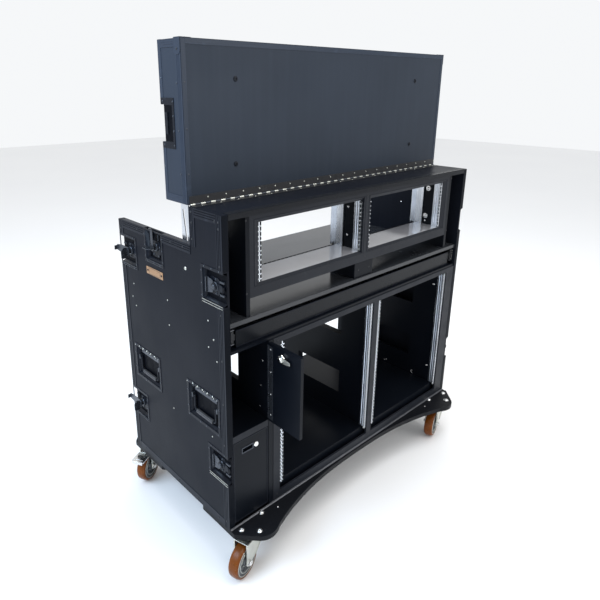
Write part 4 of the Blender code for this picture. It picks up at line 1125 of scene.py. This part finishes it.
def bay_screws():
    """Bolts and screws on the walls of the bays and on the frames."""
    bolts = Shape()
    washer = [(0, 0), (0.0105, 0), (0.011, 0.0006), (0.0105, 0.0014), (0.007, 0.0016), (0, 0.0016)]
    for side in (-1, 1):
        wall, divider = side * 0.5032, side * 0.0172
        for y, z in ((0.084, 1.168), (0.088, 1.05)):
            bolts.lathe((wall, y, z), (-side, 0, 0), washer, 24)
            bolts.socket_head((wall - side * 0.0014, y, z), (-side, 0, 0), 0.0062, 0.0034, 18)
        bolts.socket_head((wall, 0.088, 1.028), (-side, 0, 0), 0.004, 0.002)
        for z in (1.165, 1.06):
            bolts.socket_head((divider, 0.085, z), (side, 0, 0), 0.0045, 0.0022)
    bolts.done("upper_bay_bolts", BRIGHT, "case")
    group = ((0.277, 0.255), (0.288, 0.249), (0.128, 0.257), (0.133, 0.249), (0.127, 0.244))
    screws = Shape().domes([(0.5733, *at) for at in group], (-1, 0, 0), 0.0032, 0.0014)
    for y, z in ((0.054, 0.727), (0.05, 0.317)):
        for x, out in ((0.5713, -1), (0.1075, 1)):
            screws.socket_head((x, y, z), (out, 0, 0), 0.0052, 0.0028)
    screws.done("lower_bay_screws", BRIGHT, "case")
    places = [(x, 0.0, BASE_TOP + z) for x in (-0.4405, 0.0742, 0.601) for z in (0.026, 0.627)]
    places += [(x, 0.013, BASE_TOP + z) for x in (-0.555, 0.0, 0.555) for z in (0.812, 1.036)]
    Shape().domes(places, (0, -1, 0), 0.003, 0.0012).done("frame_screws", DARK, "case")
    places = [(x, 0.014, DESK_TOP + 0.029) for x in (-0.03, 0.03)]
    Shape().domes(places, (0, -1, 0), 0.0032, 0.0012).done("support_block_screws", DARK, "case")


# --- column and drawers -------------------------------------------------------------------------

DRAWER_LOCK = (-0.533, BASE_TOP + 0.281)           # X and height of the tall drawer's lock
DOOR_FACE = -0.4835                                # inner face of the open column door


def lock_face(shape, at, along, radius=0.011):
    """Chromed rosette of a cam lock with its keyhole."""
    shape.lathe(at, along, [(0.0, 0.0), (radius, 0.0), (radius, 0.0012), (radius * 0.86, 0.003),
                            (radius * 0.66, 0.0034), (radius * 0.6, 0.0024), (radius * 0.3, 0.0024),
                            (radius * 0.26, 0.0002), (0, 0.0002)], 28)


def locks():
    """Cam locks of the tall drawer and of the column door, which turn with their bodies."""
    x, z = DRAWER_LOCK
    plug = Shape()
    lock_face(plug, (x, 0.0018, z), (0, -1, 0), 0.0092)
    plug.rod((x, 0.0018, z), (x, 0.0235, z), 0.0088, 20)
    plug.box((x - 0.007, 0.0195, z - 0.006), (x + 0.007, 0.022, z + 0.026))
    plug.done("column_drawer_cam_lock", NICKEL, "drawer_lock", 0.0003,
              replaces=("column_drawer_lock",), slot="lock")
    x, y, z = DOOR_FACE, -0.071, BASE_TOP + 0.604
    plug = Shape()
    lock_face(plug, (x + 0.0122, y, z), (1, 0, 0))
    plug.rod((x + 0.0122, y, z), (x - 0.014, y, z), 0.0092, 20)
    nut = [(0.0088, 0), (0.015, 0), (0.0156, 0.001), (0.0156, 0.0052), (0.0148, 0.0062), (0.0088, 0.0062)]
    plug.lathe((x - 0.0012, y, z), (-1, 0, 0), nut, 6)
    plug.lathe((x - 0.0112, y, z), (-1, 0, 0),
               [(0, 0), (0.0085, 0), (0.008, 0.0052), (0.0045, 0.006), (0, 0.006)], 6)
    plug.done("column_door_cam_lock", NICKEL, "door_lock", 0.0003,
              replaces=("column_door_lock",), slot="lock")
    outline = [(y + 0.01, z - 0.01), (y + 0.01, z + 0.01), (y - 0.02, z + 0.007),
               (y - 0.04, z + 0.0035), (y - 0.04, z - 0.006), (y - 0.02, z - 0.009)]
    Shape().prism(outline, "X", x - 0.0105, x - 0.008).done("column_door_cam", ZINC, "door_lock", 0.0005)


def door_hinge():
    """Butt hinge of the column door: leaf on the partition, leaf on the door, knuckles, screws."""
    x, y = -0.4815, -0.002
    z0, z1 = BASE_TOP + 0.36, BASE_TOP + 0.626
    count, radius = 9, 0.003
    step = (z1 - z0) / count
    profile = [(0, 0), (radius - 0.0006, 0), (radius, 0.0008), (radius, step - 0.002),
               (radius - 0.0006, step - 0.0012), (0, step - 0.0012)]
    knuckles = Shape()
    for k in range(count):
        knuckles.lathe((x, y, z0 + step * k + 0.0006), (0, 0, 1), profile, 12)
    knuckles.done("column_door_knuckles", STEEL, "case")
    fixed_x, fixed_y, moving_x = -0.46, -0.0012, -0.4846
    fixed = Shape().box((x + 0.0022, fixed_y, z0), (fixed_x, -0.0001, z1))
    fixed.done("column_door_fixed_leaf", STEEL, "case", 0.0003, 1)
    moving = Shape().box((moving_x, -0.025, z0), (moving_x + 0.00105, -0.0042, z1))
    moving.done("column_door_moving_leaf", STEEL, "door", 0.0003, 1)
    heights = (0.793, 0.713, 0.633, 0.557)
    Shape().domes([(-0.47, fixed_y, z) for z in heights], (0, -1, 0), 0.003, 0.0012).done(
        "column_door_fixed_screws", BRIGHT, "case")
    Shape().domes([(moving_x, -0.015, z) for z in heights], (-1, 0, 0), 0.0032, 0.0014).done(
        "column_door_moving_screws", BRIGHT, "door")


def column_detail():
    """Edge and finger pull of the tall drawer, and the column's screws and shelf edge."""
    door_hinge()
    z0, z1 = BASE_TOP + 0.016, BASE_TOP + 0.324
    x0, x1, wide = -0.6275, -0.482, 0.0035
    trim = Shape().plate((x0, z0, x1, z1), (x0 + wide, z0 + wide, x1 - wide, z1 - wide), "Y", 0.0008, 0.0021)
    trim.done("column_drawer_edge", PROFILE["Z"], "tall_drawer", 0.0004)
    x, z = DRAWER_LOCK
    slot = (x - 0.057, z - 0.006, x - 0.015, z + 0.008)
    rim = (slot[0] - 0.004, slot[1] - 0.004, slot[2] + 0.004, slot[3] + 0.004)
    pull = Shape().plate(rim, slot, "Y", 0.0006, 0.002)
    pull.done("column_drawer_finger_pull", STEEL, "tall_drawer", 0.0004)
    places = ((0.03, 0.735), (0.04, 0.64), (0.042, 0.56), (0.3, 0.735))
    Shape().domes([(-0.4797, *at) for at in places], (-1, 0, 0), 0.0036, 0.0014).done(
        "partition_screws", BRIGHT, "case")
    edge = Shape().box((-0.6288, 0.001, BASE_TOP + 0.3255), (-0.48, 0.0035, BASE_TOP + 0.35))
    edge.done("column_shelf_edge", FRAME, "case", 0.0006)


def drawer_detail():
    """Lips of the keyboard drawer's front, and the balls and catches of its slides."""
    z0, z1 = BASE_TOP + 0.6486, BASE_TOP + 0.7046
    lip = Shape()
    for low, high in ((z1 - 0.004, z1 - 0.0002), (z0 + 0.0002, z0 + 0.004)):
        lip.box((-0.5965, 0.0148, low), (0.5965, 0.0162, high))
    lip.done("keyboard_drawer_lips", PROFILE["X"], "drawer", 0.0004)
    for word, side in SIDES:
        x0, x1 = layer(side, 0.6078, 0.618)
        middle = Shape().box((x0, 0.0125, BASE_TOP + 0.669), (x1, 0.018, BASE_TOP + 0.706))
        middle.box((x0, 0.018, BASE_TOP + 0.6735), (x1, 0.4, BASE_TOP + 0.7015))
        middle.done(f"drawer_slide_{word}_middle", DARK, "case", 0.0006)
        x0, x1 = layer(side, 0.599, 0.6065)
        x, z = side * 0.602, BASE_TOP + 0.69
        catch = Shape().box((x0, 0.018, BASE_TOP + 0.673), (x1, 0.06, BASE_TOP + 0.685))
        catch.rod((x, 0.0165, z), (x, 0.034, z), 0.0036, 12)
        catch.done(f"drawer_slide_{word}_catch", DARK, "drawer", 0.0006)
        places = [(side * (INNER - 0.0035), 0.013, BASE_TOP + 0.668 + 0.0095 * k) for k in range(5)]
        Shape().domes(places, (0, -1, 0), 0.0017, 0.0008).done(f"drawer_slide_{word}_balls", BRIGHT, "case")


# --- base and castors ---------------------------------------------------------------------------

AXLE_X, AXLE_Z = 0.047, 0.0625             # the axle trails the swivel axis
CROWN = 0.1454                             # height of the top of the fork
FORK_GAP, FORK_SHEET = 0.023, 0.0038      # half the fork's inner width, and its sheet


def base_bolts():
    """Bolt heads on the base board over each castor plate and the nuts beneath it."""
    washer = [(0, 0), (0.0108, 0), (0.0108, 0.001), (0.008, 0.0012), (0, 0.0012)]
    nut = [(0.0075, 0), (0.0075, 0.0052), (0.0042, 0.006), (0.0042, 0.0085), (0, 0.0085)]
    up, down = (0, 0, 1), (0, 0, -1)
    heads = Shape()
    for side in (-1, 1):
        for x, y, turn in ((CASTOR_X - 0.006, -CASTOR_OUT, -45), (CASTOR_X, DEPTH + CASTOR_OUT, 45)):
            spin = Matrix.Rotation(math.radians(turn * side), 3, "Z")
            for reach in ((0.04, 0.03), (-0.04, 0.03), (-0.04, -0.03), (0.04, -0.03)):
                at = spin @ Vector((*reach, 0)) + Vector((side * x, y, 0))
                if at.y < -0.004 or at.y > DEPTH + 0.01:
                    heads.lathe((at.x, at.y, BASE_TOP), up, washer, 24)
                    heads.socket_head((at.x, at.y, BASE_TOP + 0.001), up, 0.008, 0.004, 18)
                heads.lathe((at.x, at.y, 0.1567), down, nut, 6)
        heads.dome((side * 0.46, -0.026, BASE_TOP), up, 0.0034, 0.0014)
    heads.done("castor_bolts", BRIGHT, "case")


def castor(corner, x, y, heading):
    """One castor, built about its swivel axis and then turned to its heading."""
    place = Matrix.Translation((x, y, 0)) @ Matrix.Rotation(math.radians(heading), 4, "Z")
    castor_fork(corner, place)
    castor_axle(corner, place)
    castor_wheel(corner, place)
    if corner.startswith("rear"):
        brake(corner, place)


def castor_fork(corner, place):
    """Crown, two tapered side plates with pressed edges, and the bridge between them."""
    outside, high = FORK_GAP + FORK_SHEET, CROWN - 0.006
    fork = Shape().lathe((0, 0, CROWN - 0.008), (0, 0, 1), [
        (0, 0), (0.028, 0), (0.035, 0.003), (0.0362, 0.0062), (0.034, 0.008), (0, 0.008)], 36)
    leg = [(0.058, high), (-0.044, high), (-0.045, CROWN - 0.01), (-0.042, 0.111), (0.007, 0.067)]
    leg += arc((AXLE_X, AXLE_Z), 0.0145, -150, 0, 12) + [(0.06, 0.075), (0.06, CROWN - 0.01)]
    pressed = (
        [(-0.0445, CROWN - 0.012), (-0.0415, 0.111), (0.0075, 0.067), (0.013, 0.0665), (-0.036, 0.1125),
         (-0.0385, CROWN - 0.012)],
        [(0.0595, CROWN - 0.012), (0.0545, CROWN - 0.012), (0.0555, 0.082), (0.0595, 0.08)],
        [(0.056, high), (-0.043, high), (-0.0435, CROWN - 0.011), (0.0575, CROWN - 0.011)])
    for side in (-1, 1):
        fork.prism(leg, "Y", *layer(side, FORK_GAP, outside))
        for outline in pressed:
            fork.prism(outline, "Y", *layer(side, FORK_GAP + FORK_SHEET * 0.8, outside + 0.002))
    fork.prism(square(-0.045, CROWN - 0.0085, 0.058, CROWN - 0.005), "Y", -outside, outside)
    fork.moved(place).done(f"{corner}_castor_yoke", ZINC, f"{corner}_castor", 0.001,
                           replaces=(f"{corner}_castor_fork",), slot="castor_steel")


def castor_axle(corner, place):
    """Axle with its nuts, and the fixed race under the castor's plate."""
    nut = [(0.0125, 0), (0.0125, 0.0014), (0.0105, 0.0016), (0.0105, 0.0072), (0.0056, 0.0082),
           (0.0056, 0.01), (0, 0.01)]
    axle = Shape()
    for side in (-1, 1):
        axle.lathe((AXLE_X, side * (FORK_GAP + FORK_SHEET), AXLE_Z), (0, side, 0), nut, 6)
    axle.rod((AXLE_X, -FORK_GAP, AXLE_Z), (AXLE_X, FORK_GAP, AXLE_Z), 0.0058, 16)
    axle.moved(place).done(f"{corner}_castor_axle", BRIGHT, f"{corner}_castor", 0.0004)
    race = Shape().lathe((0, 0, CROWN + 0.0004), (0, 0, 1), [
        (0.036, 0), (0.0392, 0.002), (0.0392, 0.0062), (0.036, 0.0088), (0.043, 0.0112), (0, 0.0112)], 36)
    race.moved(place).done(f"{corner}_castor_race", STEEL, "case")


def castor_wheel(corner, place):
    """Crowned tyre, spoked hub and the bright rings on the hub's faces."""
    centre, along, half = (AXLE_X, 0, AXLE_Z), (0, 1, 0), 0.019
    wheel = f"{corner}_wheel"
    tread = ((0.053, 0.9), (0.0546, 1.0), (0.0575, 0.965), (0.0598, 0.86), (0.0613, 0.66), (0.0622, 0.36))
    near, far = [[(radius, side * half * share) for radius, share in tread] for side in (-1, 1)]
    tyre = Shape().lathe(centre, along, near + [(0.0625, 0.0)] + far[::-1] + near[:1], 64)
    tyre.moved(place).done(f"{corner}_castor_tyre", TYRE, wheel,
                           replaces=(f"{corner}_castor_wheel",), slot="castor_tyre")
    face = [(0.0068, -0.0195), (0.015, -0.0195), (0.0165, -0.018), (0.018, -0.0115), (0.033, -0.011),
            (0.035, -0.016), (0.0385, -0.0172), (0.042, -0.016), (0.044, -0.014), (0.0475, -0.014),
            (0.049, -0.0168), (0.053, -0.0178), (0.0536, -0.016)]
    hub = Shape().lathe(centre, along, mirrored(face) + face[:1], 48)
    for k in range(6):
        spin = Matrix.Translation(centre) @ Matrix.Rotation(math.radians(60 * k + 12), 4, "Y")
        hub.box((0.015, -0.015, -0.0016), (0.036, 0.015, 0.0016), spin)
    hub.moved(place).done(f"{corner}_castor_hub", HUB, wheel, 0.0006)
    rings = Shape()
    for side in (-1, 1):
        for radius, rise in ((0.05, 0.0176), (0.0385, 0.0174), (0.02, 0.0118)):
            bead = [(radius - 0.0012, 0), (radius - 0.0008, 0.001), (radius + 0.0008, 0.001),
                    (radius + 0.0012, 0), (radius - 0.0012, 0)]
            rings.lathe((AXLE_X, side * rise, AXLE_Z), (0, side, 0), bead, 48)
    rings.moved(place).done(f"{corner}_castor_rings", ZINC, wheel)


def brake(corner, place):
    """Pressed foot pedal with a broad tread, its folded lip and pivot barrel."""
    outline = mirrored([(0.05, -0.0165), (0.064, -0.0165), (0.068, -0.024), (0.072, -0.0265),
                        (0.12, -0.0265), (0.1245, -0.0235), (0.1255, -0.019)])
    pedal = Shape().prism(outline, "Z", 0.1284, 0.1308)
    pedal.box((0.084, -0.017, 0.1306), (0.112, 0.017, 0.1318))
    pedal.box((0.1225, -0.0225, 0.1185), (0.1252, 0.0225, 0.13))
    for side in (-1, 1):
        low, high = layer(side, 0.0235, 0.0262)
        pedal.box((0.073, low, 0.124), (0.121, high, 0.13))
    pedal.rod((0.05, -0.016, 0.1338), (0.05, 0.016, 0.1338), 0.0036, 14)
    pedal.box((0.044, -0.01, 0.129), (0.056, 0.01, 0.137))
    pedal.moved(place).done(f"{corner}_foot_pedal", BRIGHT, f"{corner}_brake", 0.0006,
                            replaces=(f"{corner}_brake_pedal",), slot="castor_steel")


# --- studio -------------------------------------------------------------------------------------

def studio():
    """Pale floor, pale world and three soft area lamps."""
    mesh = bpy.data.meshes.new("studio_floor")
    shape = bmesh.new()
    bmesh.ops.create_grid(shape, x_segments=1, y_segments=1, size=14.0)
    shape.to_mesh(mesh)
    shape.free()
    ground = bpy.data.objects.new("studio_floor", mesh)
    bpy.context.scene.collection.objects.link(ground)
    ground.location = (0, 0, -0.0006)
    pale = Surface("studio_pale", (0.86, 0.86, 0.86), 0.75)
    pale.cloud((0.82, 0.82, 0.83), 0.3, 0.3, 0.7, 0.7, 2)
    mesh.materials.append(pale.material)
    world = bpy.data.worlds.new("studio_world")
    bpy.context.scene.world = world
    world.use_nodes = True
    background = world.node_tree.nodes["Background"]
    background.inputs["Color"].default_value = (0.97, 0.985, 1.0, 1.0)
    background.inputs["Strength"].default_value = 0.95
    lamp("window_left", (-3.0, 0.5, 3.0), (-0.5, 0.2, 1.4), (2.4, 2.0), 130, (0.6, 0.78, 1.0))
    lamp("ceiling", (0.3, -0.6, 4.2), (0.0, 0.1, 0.9), (3.2, 2.4), 90, (1.0, 0.99, 0.97))
    lamp("front_fill", (1.8, -4.0, 2.0), (0.2, 0.0, 0.8), (2.4, 2.0), 50, (1.0, 0.98, 0.96))


def lamp(name, place, target, size, power, colour):
    data = bpy.data.lights.new(name, "AREA")
    data.shape = "RECTANGLE"
    data.size, data.size_y = size
    data.energy = power
    data.color = colour
    light = bpy.data.objects.new(name, data)
    bpy.context.scene.collection.objects.link(light)
    light.location = place
    light.rotation_euler = (Vector(target) - Vector(place)).to_track_quat("-Z", "Y").to_euler()


def camera():
    """The camera that was fitted to the photo's view of the case."""
    data = bpy.data.cameras.new("camera")
    data.sensor_width = 36.0
    data.lens = 32.085
    data.shift_x = 0.04697
    data.shift_y = -0.07142
    data.clip_start = 0.05
    eye = bpy.data.objects.new("camera", data)
    bpy.context.scene.collection.objects.link(eye)
    forward = Vector((0.63872, 0.70626, -0.30533)).normalized()
    right = Vector((0.74205, -0.67034, 0.0017)).normalized()
    up = right.cross(forward).normalized()
    right = forward.cross(up)
    turn = Matrix((right, up, -forward)).transposed()
    place = Vector((-1.4927, -1.135, 1.5801)) + SHIFT
    eye.matrix_world = Matrix.Translation(place) @ turn.to_4x4()
    bpy.context.scene.camera = eye
    bpy.context.scene.view_settings.view_transform = "Standard"


boards()
side_profiles()
front_profiles()
rivets()
hardware()
lid_trim()
corners()
keepers()
stays()
hinge_detail()
rails()
bay_floors()
bay_screws()
locks()
column_detail()
drawer_detail()
base_bolts()
for corner_name, (castor_x, castor_y, castor_heading) in CASTORS.items():
    castor(corner_name, castor_x, castor_y, castor_heading)
studio()
camera()

bpy.context.view_layer.update()
